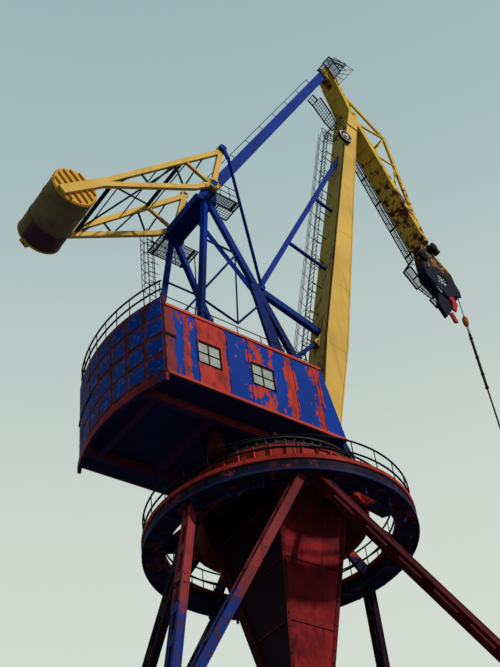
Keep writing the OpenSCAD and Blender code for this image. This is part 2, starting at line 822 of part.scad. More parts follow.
module tie() color("#24408f") {
  a = [head_x, 0, head_z];
  b = [tail_x, 0, tail_z];
  u = (b - a) / norm(b - a);
  above = [-u[2], 0, u[0]];
  difference() {
    union() {
      disc(head_x, head_z, 64, tie_w);
      beam(a + u * 26, b - u * 8, tie_deep, tie_w);
      disc(tail_x, tail_z, 42, tie_w);
    }
    disc(head_x, head_z, shaft_d + 2 * run_gap, tie_w + 4);
  }
  for (s = [160 : 240 : 2100])
    bar(a + u * s + above * (tie_deep / 2 - 1), a + u * s + above * (tie_deep / 2 + 26), 4);
  bar(a + u * 150 + above * (tie_deep / 2 + 26), a + u * 2090 + above * (tie_deep / 2 + 26), 4);
}

module lever_side(side) {
  y = side * lever_y;
  kink = [head_x - 112, head_z - 97];
  difference() {
    union() {
      disc(head_x, head_z, 70, lever_w, y);
      disc(tip_x, tip_z, 44, lever_w, y);
      beam(at([head_x, head_z], y), at([tip_x, tip_z], y), 26, lever_w);
      beam(at([tip_x, tip_z - 12], y), at(elbow, y), 24, lever_w);
      beam(at([head_x, head_z], y), at(kink, y), 24, lever_w);
      beam(at(kink, y), at(elbow - [0, 20], y), 24, lever_w);
      disc(kink[0], kink[1], 24, lever_w, y);
      beam(at([head_x - 141, head_z + 60], y), at([head_x - 20, head_z - 10], y), 14, lever_w - 4);
      beam(at(elbow + [18, 8], y), at([drum_x - 65, drum_z - 70], y), 42, lever_w);
    }
    disc(head_x, head_z, shaft_d + 2 * run_gap, lever_w + 4, y);
    disc(tip_x, tip_z, 22 + 2 * run_gap, lever_w + 4, y);
  }
}

module lever_right() color("#cfa036") lever_side(-1);

module lever_left() color("#cfa036") lever_side(1);

module lever_bracing() color("#16181f") {
  near = [head_x - 156, head_z + 70];
  far = [drum_x + 170, drum_z + 128];
  for (p = [near, far])
    disc(p[0], p[1], 18, 2 * lever_in);
  bar(at(near, 4 - lever_in), at(far, lever_in - 4), 9);
  bar(at(near, lever_in - 4), at(far, 4 - lever_in), 9);
}

module counterweight() color("#8a7430") disc(drum_x, drum_z, drum_d, 2 * lever_in);

module link_rods() color("#2a4699") {
  tip = [tip_x, 0, tip_z];
  horn = [horn_x, 0, horn_z];
  turn = tip + (horn - tip) * 0.1;
  for (side = [-1, 1]) {
    y_tip = [0, side * rod_y, 0];
    y_horn = [0, side * (horn_w / 2 + 12), 0];
    disc(tip_x, tip_z, 40, 12, side * rod_y);
    disc(tip_x, tip_z, 22, lever_w + 8, side * (lever_y + 4));
    beam(tip + y_tip, turn + y_tip, 18, 12);
    beam(turn + y_tip, horn + y_horn, 18, 12);
    disc(horn_x, horn_z, 40, 12, side * (horn_w / 2 + 12));
  }
}

module luffing_rack() color("#22387f") {
  disc(luff_x, luff_z, 27, 20);
  disc(luff_x, luff_z, 14, 40);
  beam([luff_x, 0, luff_z], at([luff_x, luff_z] + rack_way * rack_len, 0), luff_deep, 20);
}

module rack_guide() color("#1d2b66") {
  half = 54;
  a = [guide_x - rack_way[0] * half, 0, guide_z - rack_way[1] * half];
  b = [guide_x + rack_way[0] * half, 0, guide_z + rack_way[1] * half];
  step = (b - a) / norm(b - a) * 5;
  difference() {
    union() {
      beam(a, b, luff_deep + 32, 37);
      disc(guide_x, guide_z, 24, 78);
    }
    beam(a - step, b + step, luff_deep + 18, 24);
  }
}

// Hoist rope

module nose_sheave() color("#17181b") {
  difference() {
    disc(nose_x, nose_z, nose_d, 20);
    for (side = [-1, 1])
      disc(nose_x, nose_z, nose_d - 16, 4, side * 10);
  }
  disc(nose_x, nose_z, 16, 76);
}

module hoist_rope() color("#3a3733") {
  translate([rope_x, 0, ball_z + 32]) cylinder(d = rope_d, h = nose_z - ball_z - 32, $fn = 8);
}

module load_hook() color("#b0622f") {
  low = nose_z - rope_len;
  translate([rope_x, 0, ball_z - 32]) cylinder(d = 44, h = 64);
  translate([rope_x, 0, ball_z - 92]) cylinder(d = 14, h = 61);
  translate([rope_x, 0, ball_z - 500]) cylinder(d = 17, h = 409);
  translate([rope_x, 0, low + 110]) cylinder(d = 9, h = ball_z - 499 - low - 110);
  translate([rope_x, 0, low + 70]) cylinder(d = 34, h = 42);
  translate([rope_x, 7, low + 34])
    rotate([90, 0, 0])
      rotate([0, 0, 170])
        rotate_extrude(angle = 290) translate([20, 0]) square([14, 14]);
  translate([rope_x - 8, -5, low + 58]) cube([16, 10, 18]);
}

feet();
wheels();
sill_frame();
pivot_stand();
portal_struts();
ring_beam();
roller_ring();
pin_rack();
ring_railing();
column();
platform();
slewing_drive();
house_floor();
side_wall_right();
side_wall_left();
rear_wall();
front_wall();
house_roof();
windows();
roof_railing();
frame_right();
frame_left();
frame_head();
head_platform();
guide_stand();
boom();
boom_horn();
boom_ladder();
guide_sheave();
jib();
jib_truss();
jib_walkway();
tail_platform();
jib_nose();
tie();
lever_right();
lever_left();
lever_bracing();
counterweight();
link_rods();
luffing_rack();
rack_guide();
nose_sheave();
hoist_rope();
load_hook();
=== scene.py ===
import json
import math
from functools import cached_property
import bpy
import numpy as np
from mathutils import Matrix, Vector


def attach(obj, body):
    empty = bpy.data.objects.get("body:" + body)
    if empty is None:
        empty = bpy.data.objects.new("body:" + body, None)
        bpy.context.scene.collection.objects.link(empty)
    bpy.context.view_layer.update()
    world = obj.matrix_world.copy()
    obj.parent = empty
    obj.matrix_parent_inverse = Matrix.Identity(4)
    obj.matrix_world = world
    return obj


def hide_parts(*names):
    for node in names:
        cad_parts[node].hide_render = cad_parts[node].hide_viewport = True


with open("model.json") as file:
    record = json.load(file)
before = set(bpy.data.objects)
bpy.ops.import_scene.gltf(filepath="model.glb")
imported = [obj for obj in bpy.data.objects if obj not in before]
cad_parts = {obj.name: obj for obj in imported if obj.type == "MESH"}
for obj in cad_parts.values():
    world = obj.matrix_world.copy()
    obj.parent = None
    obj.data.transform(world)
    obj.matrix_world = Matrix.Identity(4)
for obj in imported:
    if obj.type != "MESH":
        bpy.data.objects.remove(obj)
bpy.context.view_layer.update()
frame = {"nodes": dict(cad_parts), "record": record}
mm = 0.001
scene = bpy.context.scene

# Mesh parts: each is (points in millimetres, faces)


def unit(v):
    # A vector divided by its length
    return v / np.linalg.norm(v, axis=-1, keepdims=True)


def gridFaces(n, m, loop=False):
    # Quads from each ring of m points to the next of n rings; an open run has its two ends capped
    i, k = np.meshgrid(np.arange(n if loop else n - 1), np.arange(m), indexing="ij")
    j, l = (i + 1) % n, (k + 1) % m
    faces = np.stack([i * m + k, i * m + l, j * m + l, j * m + k], -1).reshape(-1, 4).tolist()
    return faces if loop else faces + [list(range(m))[::-1], list(range((n - 1) * m, n * m))]


def sweep(route, profile, loop=False):
    # A profile carried along a path: each ring is the path's point plus the profile in its cross plane
    route, profile = np.array(route, float), np.array(profile, float)
    step = unit(np.roll(route, -1, 0) - route)
    if not loop:
        step[-1] = step[-2]
    before = np.roll(step, 1, 0)
    if not loop:
        before[0] = step[0]
    along = unit(step + before)
    steep = np.abs(along).max(0)
    side = (0, 1, 0) if steep[1] < 0.9 else (0, 0, 1) if steep[2] < 0.9 else (1, 0, 0)
    across = unit(np.cross(side, along))
    over = np.cross(along, across)
    grid = route[:, None] + profile[None, :, :1] * across[:, None] + profile[None, :, 1:] * over[:, None]
    return grid.reshape(-1, 3), gridFaces(*grid.shape[:2], loop)


def barAlong(route, deep, wide, loop=False):
    # A rectangle carried along the route
    d, w = deep / 2, wide / 2
    return sweep(route, [(-d, -w), (d, -w), (d, w), (-d, w)], loop)


def upright(outline, y):
    # A side-view outline placed at y
    return [(x, y, z) for x, z in outline]


def beam(p, q, deep, wide):
    return barAlong([p, q], deep, wide)


def fullTurn(count):
    return math.tau * np.arange(count) / count


def ellipse(x, y, z, rx, rz, turn):
    # Points of an upright ellipse that faces along y, at the angles given
    return [(x + rx * math.cos(a), y, z + rz * math.sin(a)) for a in turn]


def tube(route, d, sides=8, loop=False):
    # Circle of diameter d carried along the route
    t = fullTurn(sides)
    return sweep(route, np.stack([np.cos(t), np.sin(t)], -1) * d / 2, loop)


def disc(x, y, z, d, length, sides=40):
    # Circle carried along y, half its length to each side of its centre
    return tube([(x, y - length / 2, z), (x, y + length / 2, z)], d, sides)


def plate(outline, y, thick):
    # Side-view outline at two depths, joined round its edge
    flat = np.array(outline, float)
    count = len(flat)
    depth = np.repeat((y - thick / 2, y + thick / 2), count)
    both = np.tile(flat, (2, 1))
    points = np.stack([both[:, 0], depth, both[:, 1]], -1)
    i = np.arange(count)
    j = (i + 1) % count
    faces = [list(range(count)), list(range(count, 2 * count))[::-1]]
    return points, faces + np.stack([i, i + count, j + count, j], -1).tolist()


def shell(rIn, rOut, low, high, start, stop, steps=12):
    # Rectangle carried round the slewing axis, from one angle in degrees to another
    r, turn = (rIn + rOut) / 2, np.radians(np.linspace(start, stop, steps))
    route = np.stack([r * np.cos(turn), r * np.sin(turn), np.full(steps, (low + high) / 2)], -1)
    return barAlong(route, rOut - rIn, high - low)


def finishOf(slot, coat=None):
    # The finish named, or else the slot's own
    return finish[coat or slotFinish.get(slot, slot)]


def piece(name, parts, body, slot, coat=None, bevel=0.0, replaces=()):
    # All parts joined in one mesh, with the slot's own finish unless a coat is named
    points, faces, start = [], [], 0
    for part, loops in parts:
        points.append(part)
        faces += [tuple(start + i for i in loop) for loop in loops]
        start += len(part)
    mesh = bpy.data.meshes.new(name)
    mesh.from_pydata((np.concatenate(points) * mm).tolist(), [], faces)
    mesh.update()
    made = bpy.data.objects.new(name, mesh)
    scene.collection.objects.link(made)
    mesh.materials.append(finishOf(slot, coat))
    if bevel:
        rounding = made.modifiers.new("rounding", "BEVEL")
        rounding.width, rounding.segments, rounding.limit_method = bevel * mm, 2, "ANGLE"
    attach(made, body)
    if replaces:
        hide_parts(*replaces)
    print(name, len(faces), "faces")
    return made


def between(p, q, t):
    # The share t of the way from p to q
    return np.add(p, np.subtract(q, p) * t)


# Places taken from the part, in millimetres

crane = {"ringR": 500, "ringIn": 428, "ringZ": 1160, "ringLow": 1114, "rollerR": 330, "rackTop": 1378,
         "floorZ": 1456, "roofZ": 1790, "houseR": 729, "houseHalf": 302, "houseFront": 132,
         "footHalf": 610, "footH": 175, "turn": -20, "parapet": 38}
drum = {"x": -948, "z": 2425, "d": 194, "half": 149, "seams": (-60, 50), "fins": (-0.7, -0.35, 0, 0.35, 0.7),
        "finAlong": (0.64, 0, -0.768)}
boomFoot, boomHead = np.array((280, 0, 1640)), np.array((1005, 0, 4490))
boomLength = np.linalg.norm(boomHead - boomFoot)
boomAlong = (boomHead - boomFoot) / boomLength
boomFrontward = np.array((boomAlong[2], 0, -boomAlong[0]))
boomHalfWide = 65


def onBoom(s, d, y=0):
    # The boom's foot plus s along it, d towards its front and y across
    return boomFoot + boomAlong * s + boomFrontward * d + np.array((0, y, 0))


def boomHalfDeep(s):
    # Half the depth, straight between three places along the boom
    return np.interp(s, (0, 700, boomLength - 96), (42, 62, 37))


# Materials


class Nodes:
    # Builds in one tree: each method adds a node and gives the socket that carries its result

    def __init__(self, tree):
        self.nodes, self.link = tree.nodes, tree.links.new

    def add(self, kind, **values):
        # A node with its settings and inputs: i0, i1 name an input by number, other keys by label
        node = self.nodes.new("ShaderNode" + kind)
        for key in {"operation", "data_type", "interpolation_type"} & set(values):
            setattr(node, key, values.pop(key))
        return self.fill(node, values)

    def fill(self, node, values):
        for key, value in values.items():
            socket = node.inputs[int(key[1:]) if key[0] == "i" else key]
            if isinstance(value, bpy.types.NodeSocket):
                self.link(value, socket)
            else:
                socket.default_value = value
        return node

    def math(self, operation, a, b=0.0):
        return self.add("Math", operation=operation, i0=a, i1=b).outputs[0]

    def times(self, a, b):
        return self.math("MULTIPLY", a, b)

    def ramp(self, value, low, high):
        # 0 at low and 1 at high, with a smooth step between
        return self.add("MapRange", interpolation_type="SMOOTHSTEP", i0=value, i1=low, i2=high).outputs[0]

    def mix(self, factor, a, b):
        # From a to b by the factor; a colour may be given by its text
        a, b = (colour(v) if isinstance(v, str) else v for v in (a, b))
        return self.add("Mix", data_type="RGBA", i0=factor, i6=a, i7=b).outputs[2]

    def noise(self, scale, detail=4.0, rough=0.6, stretch=None):
        place = self.place
        if stretch:
            place = self.add("VectorMath", operation="MULTIPLY", i0=place, i1=stretch).outputs[0]
        return self.add("TexNoise", Vector=place, Scale=scale, Detail=detail, Roughness=rough).outputs["Fac"]

    def ragged(self, value, rag, reach):
        # The value with a noise of the given reach added about its middle
        return self.math("ADD", value, self.times(self.math("SUBTRACT", rag, 0.5), reach))

    def split(self, value):
        return self.add("SeparateXYZ", i0=value).outputs

    @cached_property
    def place(self):
        return self.add("TexCoord").outputs["Object"]

    @cached_property
    def axis(self):
        return self.split(self.place)

    @cached_property
    def facing(self):
        return self.split(self.add("TexCoord").outputs["Normal"])


def makeWear():
    # Masks from layered noises: flaked spots, runs down the paint, broad tone, dust on top faces, fine grain
    tree = bpy.data.node_groups.new("Wear", "ShaderNodeTree")
    tree.interface.new_socket("Amount", in_out="INPUT", socket_type="NodeSocketFloat").default_value = 0.5
    entry = tree.nodes.new("NodeGroupInput")
    t = Nodes(tree)
    both = t.math("ADD", t.times(t.noise(9, 8, 0.72), 0.65), t.times(t.noise(46, 6, 0.7), 0.35))
    level = t.math("SUBTRACT", 0.78, t.times(entry.outputs["Amount"], 0.4))
    up = t.split(t.add("NewGeometry").outputs["Normal"])[2]
    masks = {"Flakes": t.ramp(t.math("SUBTRACT", both, level), 0.0, 0.025),
             "Runs": t.ramp(t.noise(1, 5, 0.65, stretch=(38, 38, 2.2)), 0.5, 0.75),
             "Tone": t.noise(3.2, 3), "Dust": t.ramp(up, 0.4, 0.95), "Grain": t.noise(420, 3)}
    out = tree.nodes.new("NodeGroupOutput")
    for label, mask in masks.items():
        tree.interface.new_socket(label, in_out="OUTPUT", socket_type="NodeSocketFloat")
        t.link(mask, out.inputs[label])
    return tree


wear = makeWear()


def colour(text):
    # Display colour #rrggbb as linear light
    parts = [int(text[i:i + 2], 16) / 255 for i in (1, 3, 5)]
    return tuple(c / 12.92 if c < 0.04 else ((c + 0.055) / 1.055) ** 2.4 for c in parts) + (1.0,)


coatLook = {"tone": (0.32, 0.66), "dust": "#7d7668", "dusty": 0.25, "rougher": 0.2, "specular": 0.03, "bump": 0.35,
            "bumpReach": 0.0006, "grain": 0.3}
finish = {}


def newMaterial(name):
    made = finish[name] = bpy.data.materials.new(name + "_coat")
    made.use_nodes = True
    return made, Nodes(made.node_tree), made.node_tree.nodes["Principled BSDF"]


def paint(name, main, under, rust="#4a2418", amount=0.3, runs=0.3, rough=0.6, skin=None, deep=0.6):
    made, t, shader = newMaterial(name)
    worn = t.add("Group")
    worn.node_tree = wear
    worn.inputs["Amount"].default_value = amount
    dark = tuple(c * deep for c in colour(main)[:3]) + (1.0,)
    coat = t.mix(t.ramp(worn.outputs["Tone"], *coatLook["tone"]), dark, main)
    if skin:
        coat = skin(t, coat)
    coat = t.mix(worn.outputs["Flakes"], coat, under)
    coat = t.mix(t.times(worn.outputs["Runs"], runs), coat, rust)
    coat = t.mix(t.times(worn.outputs["Dust"], coatLook["dusty"]), coat, coatLook["dust"])
    grain = t.times(worn.outputs["Grain"], coatLook["grain"])
    bump = t.add("Bump", Strength=coatLook["bump"], Distance=coatLook["bumpReach"],
                 Height=t.math("SUBTRACT", grain, worn.outputs["Flakes"]))
    rougher = t.math("ADD", t.times(worn.outputs["Flakes"], coatLook["rougher"]), rough)
    t.fill(shader, {"Base Color": coat, "Roughness": rougher, "Specular IOR Level": coatLook["specular"],
                    "Normal": bump.outputs[0]})


# Share of bare red along the house wall: (place from the rear corner, 0 to 1; share)
houseRed = ((0, 0.9), (0.05, 0.8), (0.06, 0.3), (0.1, 0.35), (0.11, 0.8), (0.13, 0.8), (0.135, 0.25), (0.17, 0.2),
            (0.18, 0.9), (0.33, 0.95), (0.336, 0.05), (0.43, 0.15), (0.46, 0.5), (0.59, 0.52), (0.63, 0.15),
            (0.66, 0.2), (0.68, 0.75), (0.71, 0.7), (0.74, 0.15), (0.82, 0.2), (0.84, 0.66), (0.88, 0.6),
            (0.9, 0.1), (1, 0.1))
houseSpan = {"rear": 0.67, "long": 0.81}
rearGrid = {"turn": 0.122, "low": 1.468, "tall": 0.0865}


def fillHouse(t, coat):
    # Bare red where a wavy noise passes the share set for this place along the wall
    wave = t.noise(1, 7, 0.65, stretch=(30, 30, 14))
    x = t.ragged(t.axis[0], t.noise(26, 4), 0.035)
    along = t.math("DIVIDE", t.math("ADD", x, houseSpan["rear"]), houseSpan["long"])
    share = t.add("ValToRGB")
    t.link(along, share.inputs[0])
    stops = share.color_ramp.elements
    while len(stops) < len(houseRed):
        stops.new(0.5)
    for stop, (at, value) in zip(stops, houseRed):
        stop.position, stop.color = at, (value, value, value, 1)
    bare = t.ramp(t.ragged(share.outputs[0], wave, 2.4), 0.46, 0.52)
    red = t.mix(t.ramp(wave, 0.35, 0.65), "#7a2622", "#b2362a")
    corner = t.ramp(t.ragged(t.axis[0], wave, 0.12), -0.56, -0.6)
    red = t.mix(t.times(corner, 0.7), red, "#5a2a30")
    return t.mix(bare, coat, red)


def fillRear(t, coat):
    # Blue in the middle of each panel of a grid by angle and height, worn red at its edges
    turn = t.math("ARCTAN2", t.axis[1], t.times(t.axis[0], -1.0))
    across = t.math("FRACT", t.math("ADD", t.math("DIVIDE", turn, rearGrid["turn"]), 3.5))
    height = t.math("SUBTRACT", t.axis[2], rearGrid["low"])
    over = t.math("FRACT", t.math("DIVIDE", height, rearGrid["tall"]))
    edge = t.math("MINIMUM", t.math("PINGPONG", across, 0.5), t.math("PINGPONG", over, 0.5))
    rag = t.noise(24, 6, 0.65)
    centre = t.ramp(t.ragged(edge, rag, 0.6), 0.07, 0.17)
    pale = t.mix(t.ramp(t.noise(60, 4), 0.56, 0.64), coat, "#2f68b0")
    return t.mix(centre, t.mix(t.ramp(rag, 0.4, 0.6), "#4c242c", "#7c3634"), pale)


def fillStrut(t, coat):
    # Blue below a ragged level, the red coat above
    level = t.ragged(t.axis[2], t.noise(36, 6), 0.5)
    rag = t.noise(1, 6, 0.7, stretch=(40, 40, 16))
    blue = t.mix(t.ramp(rag, 0.5, 0.56), "#0e2c70", "#3c2438")
    return t.mix(t.ramp(level, strutBlue - 0.05, strutBlue + 0.05), blue, coat)


def fillJib(t, coat):
    # Rust spots that grow in number down the jib
    spots = t.noise(21, 7, 0.66)
    lower = t.ramp(t.axis[2], 4.35, 3.9)
    bare = t.ramp(t.math("ADD", spots, t.times(lower, 0.11)), 0.61, 0.635)
    return t.mix(bare, coat, t.mix(t.ramp(spots, 0.6, 0.7), "#5a3024", "#2c1a22"))


def fillRollerShade(t, coat):
    # Painted shade: the red ends above the ring and the drum below it, in the ring's shadow, is painted navy
    level = t.ragged(t.axis[2], t.noise(20, 5), 0.04)
    return t.mix(t.ramp(level, 1.2, 1.18), coat, "#14142c")


def fillBoom(t, coat):
    # Rust runs down the faces that look back; those faces are also turned olive as painted shade
    run = t.ramp(t.noise(1, 6, 0.7, stretch=(34, 34, 1.6)), 0.52, 0.6)
    low = t.ramp(t.ragged(t.axis[2], t.noise(8, 4), 1.2), 3.7, 2.9)
    back = t.ramp(t.facing[0], -0.3, -0.6)
    rust = t.times(t.times(run, low), back)
    # Painted shade: faces that look back are mixed halfway to olive
    shadedBackCoat = t.mix(t.times(back, 0.5), coat, "#a29a4c")
    return t.mix(t.times(rust, 0.8), shadedBackCoat, "#7a3420")


def fillFrame(t, coat):
    # Darker towards the foot of the frame; faces that look down are darkened as painted shade
    level = t.ragged(t.axis[2], t.noise(1, 5, stretch=(18, 18, 4)), 0.5)
    # Painted shade on faces that look down
    under = t.times(t.ramp(t.facing[2], -0.3, -0.7), 0.6)
    footDarkAndUnderShade = t.math("MAXIMUM", under, t.times(t.ramp(level, 2.75, 1.95), 0.72))
    return t.mix(footDarkAndUnderShade, coat, "#080e28")


def fillUnderShade(t, coat):
    # Painted shade: faces that look down, and cross beams inside the curved edge, are painted navy
    across = t.times(t.ramp(t.math("ABSOLUTE", t.facing[0]), 0.6, 0.8), t.ramp(t.axis[0], -0.7, -0.68))
    dark = t.math("MAXIMUM", across, t.ramp(t.facing[2], -0.5, -0.8))
    return t.mix(t.times(dark, 0.85), coat, "#22224a")


def fillNose(t, coat):
    # Rusty ochre at the jib's end, black below it
    level = t.ragged(t.axis[2], t.noise(40, 5), 0.2)
    upper = t.mix(t.ramp(t.noise(52, 6), 0.4, 0.5), "#9a7432", "#32201c")
    return t.mix(t.ramp(level, 3.32, 3.37), coat, upper)


def fillDrum(t, coat):
    # A dark purple sheet round the far end's lower half
    far = t.ramp(t.ragged(t.axis[1], t.noise(18, 4), 0.04), 0.04, 0.05)
    low = t.times(t.ramp(t.axis[2], 2.43, 2.40), t.ramp(t.facing[0], -0.86, -0.82))
    return t.mix(t.times(far, low), coat, "#4a2f36")


def fillSheave(t, coat):
    # White on the flat face, dark on the tread
    return t.mix(t.ramp(t.math("ABSOLUTE", t.facing[1]), 0.6, 0.7), "#15151c", coat)


def fillColumn(t, coat):
    # Painted shade: the webs between the side plates are near-black, as is the head under the platform in the
    # ring's shadow; mottled grime darkens the red
    web = t.ramp(t.math("ABSOLUTE", t.facing[0]), 0.6, 0.7)
    streaks = t.noise(1, 5, 0.65, stretch=(26, 26, 1.4))
    shade = t.ramp(t.ragged(t.axis[2], streaks, 0.6), 0.98, 1.25)
    # Painted shade on the webs and on the head under the ring
    dark = t.math("MAXIMUM", web, t.times(shade, 0.75))
    grime = t.ramp(t.noise(7, 8, 0.7), 0.42, 0.66)
    fine = t.ramp(t.noise(60, 6, 0.7), 0.56, 0.64)
    grime = t.math("MAXIMUM", t.times(grime, 0.7), t.times(fine, 0.6))
    coat = t.mix(grime, coat, "#3c1016")
    return t.mix(dark, coat, "#22101a")


strutBlue = 0.62
paint("boom_ochre", "#d2aa52", "#5c4426", skin=fillBoom, deep=0.8)
paint("jib_ochre", "#d0ac40", "#4e3420", amount=0.4, skin=fillJib, deep=0.8)
paint("frame_blue", "#002c84", "#0c1434", rust="#060c2c", runs=0.4, skin=fillFrame, deep=0.7)
paint("house_blue", "#00348c", "#942e26", rust="#200c1c", amount=0.36, runs=0.25, skin=fillHouse, deep=0.75)
paint("rear_wall", "#0c3c94", "#5e2830", amount=0.4, runs=0.2, skin=fillRear)
paint("ring_red", "#a8342c", "#2c1218", rust="#240c14", amount=0.44, runs=0.55, deep=0.55)
# Red roller paint, with the ring's shade painted navy below it
paint("roller_red_with_shade", "#a8342c", "#2c1218", rust="#240c14", amount=0.44, runs=0.55, skin=fillRollerShade, deep=0.55)
paint("platform_red", "#8c3034", "#2a1a30", rust="#241428", amount=0.48, runs=0.6, skin=fillUnderShade, deep=0.55)
paint("ring_dark", "#15152a", "#6c2c2a", rust="#4e242c", amount=0.6, runs=0.6)
paint("strut_red", "#803030", "#2a141e", rust="#2a1018", amount=0.5, runs=0.6, skin=fillStrut, deep=0.55)
paint("strut_dark", "#58181c", "#1a0e1a", rust="#14080e", amount=0.5, runs=0.7, deep=0.5)
# Near-black painted shade for the far struts, which are lit from behind
paint("strut_painted_shade", "#2a1c26", "#5a2a2a")
paint("column_red", "#962426", "#3c141c", rust="#2a0e18", amount=0.4, runs=0.75, skin=fillColumn, deep=0.68)
paint("column_trim", "#641c20", "#2a1016", rust="#1e0c12", amount=0.45, runs=0.7)
paint("portal_navy", "#22264e", "#3c2028", amount=0.35)
paint("rail_black", "#14161c", "#2c221e", amount=0.25, runs=0.2)
paint("nose_black", "#15152c", "#3a2a20", rust="#241a24", amount=0.4, runs=0.4, skin=fillNose)
paint("drum_ochre", "#7c7048", "#8a6c2c", rust="#4a2e1c", amount=0.36, runs=0.75, skin=fillDrum)
paint("drum_face", "#d29c38", "#54381e", runs=0.25, deep=0.8)
paint("sheave_white", "#e2ddce", "#6a5c4c", skin=fillSheave, deep=0.8)
paint("edge_red", "#c04838", "#7a2c26", amount=0.4)
paint("panel_pale", "#5c7c98", "#3c5264", rust="#3c5264")
paint("wheel_steel", "#343234", "#43281c", amount=0.4, rough=0.5)
paint("rope_steel", "#1c1a1a", "#3a2820", runs=0.2, rough=0.45)
paint("hook_orange", "#b4602c", "#3c2218", amount=0.46, runs=0.4)
paint("bracket_red", "#b02a3a", "#4a1a1e")


def makeGlass():
    made, t, shader = newMaterial("window_glass")
    dirt = t.ramp(t.noise(22, 5), 0.35, 0.75)
    t.fill(shader, {"Base Color": t.mix(dirt, "#8e9488", "#6c7268"), "Roughness": 0.22, "Specular IOR Level": 0.5})


makeGlass()
# Wire mesh, seen as a half clear sheet
finish["panel_pale"].node_tree.nodes["Principled BSDF"].inputs["Alpha"].default_value = 0.3

# Slots that share a finish, and pieces of the part with one of their own
slotFinish = {"rack_steel": "wheel_steel", "floor_navy": "portal_navy", "stand_navy": "portal_navy",
              "sheave_iron": "wheel_steel"}
ownFinish = {"rear_wall": "rear_wall", "ring_beam": "ring_dark", "jib": "jib_ochre", "jib_truss": "jib_ochre",
             "slewing_drive": "strut_dark", "roller_ring": "roller_red_with_shade"}


for row in frame["record"]["subparts"]:
    for spot in frame["nodes"][row["node"]].material_slots:
        spot.material = finishOf(row["material_slot"], ownFinish.get(row["node"]))
print("materials", len(finish))

# Portal: each strut is a pair of channels joined by battens

# The far struts take the near-black coat as painted shade
strut = {"heads": ((240, 2, "strut_red"), (190, 2, "strut_red"), (248, 3, "strut_dark"),
                   (6, 0, "strut_painted_shade"), (58, 0, "strut_painted_shade"), (194, 1, "strut_painted_shade"),
                   (85, 1, "strut_painted_shade")),
         "channel": 12, "deep": 26, "apart": 28, "pitch": 150, "batten": 44}


def makeStruts():
    footR, headR = crane["footHalf"] * math.sqrt(2) - 6, crane["ringIn"] + 30
    parts = {coat: [] for _, _, coat in strut["heads"]}
    for head, foot, coat in strut["heads"]:
        low, high = math.radians(crane["turn"] + 45 + 90 * foot), math.radians(head)
        p = np.array((footR * math.cos(low), footR * math.sin(low), crane["footH"] + 6))
        q = np.array((headR * math.cos(high), headR * math.sin(high), crane["ringLow"] - 8))
        length = np.linalg.norm(q - p)
        along = (q - p) / length
        front = unit(np.cross((0, 1, 0), along))
        across = np.cross(along, front)
        for side in (-1, 1):
            shift = across * side * strut["apart"] / 2
            parts[coat].append(beam(p + shift, q + shift, strut["deep"], strut["channel"]))
            lip = across * side * (strut["apart"] / 2 + strut["channel"] / 2 - 1)
            for face in (-1, 1):
                edge = lip + front * face * (strut["deep"] / 2 - 1)
                parts[coat].append(beam(p + edge, q + edge, 5, 5))
        for s in np.arange(20, length - 20, strut["pitch"]):
            middle = p + along * s
            run = along * strut["batten"] / 2
            for face in (-1, 1):
                lift = front * face * (strut["deep"] / 2 - 1)
                parts[coat].append(beam(middle - run + lift, middle + run + lift, 4,
                                        strut["apart"] + strut["channel"] - 4))
    for name, coat in (("", "strut_red"), ("_dark", "strut_dark"), ("_far", "strut_painted_shade")):
        piece("strut_channels" + name, parts[coat], "portal", "strut_red", coat, replaces=["portal_struts"])


makeStruts()

ring = {"ribs": 24, "ribDeep": 10, "ribTurn": 0.5, "edge": 3, "lip": (-4, 6), "curb": (-4, 12), "flange": 7,
        "flanges": (32, 100, 176)}


def hoop(r, half, low, high):
    # A whole band about the slewing axis, in four quarters
    return [shell(r - half, r + half, low, high, a, a + 90, 24) for a in (0, 90, 180, 270)]


def makeRing():
    low, top, edge = crane["ringLow"], crane["ringZ"], ring["edge"]
    ribs = [shell(crane["ringIn"] + 1, crane["ringR"] - 1, low - ring["ribDeep"], low, a - ring["ribTurn"],
                  a + ring["ribTurn"], 2) for a in np.degrees(fullTurn(ring["ribs"]))]
    curb, flanges = [], []
    for r in (crane["ringIn"] - 2, crane["ringR"] + 2):
        ribs += hoop(r, edge, *(low + z for z in ring["lip"]))
        curb += hoop(r, edge, *(top + z for z in ring["curb"]))
    for z in ring["flanges"]:
        flanges += hoop(crane["rollerR"] + edge, edge, top + z, top + z + ring["flange"])
    piece("ring_ribs", ribs, "portal", "portal_navy")
    piece("ring_curb", curb, "portal", "ring_red")
    piece("roller_flanges", flanges, "portal", "ring_red")


makeRing()

# Measures of a wheel's flange and hub cap are places across the foot, then a diameter
foot = {"wheel": 68.2, "hubZ": 28, "flange": (-14, -9), "flangeD": 55, "cap": (20, 24), "capD": 18,
        "straps": (95, 165), "strapHalf": 33}


def square(x, y, half):
    return [(x - half, y - half), (x + half, y - half), (x + half, y + half), (x - half, y + half)]


def atFoot(number, local):
    # A place beside one foot, turned and moved into the crane's axes
    a = math.radians(crane["turn"] + 45 + 90 * number)
    b = a + math.radians(45)
    r = crane["footHalf"] * math.sqrt(2)
    x, y, z = np.array(local, float).T
    return np.stack([r * math.cos(a) + x * math.cos(b) - y * math.sin(b),
                     r * math.sin(a) + x * math.sin(b) + y * math.cos(b), z], -1)


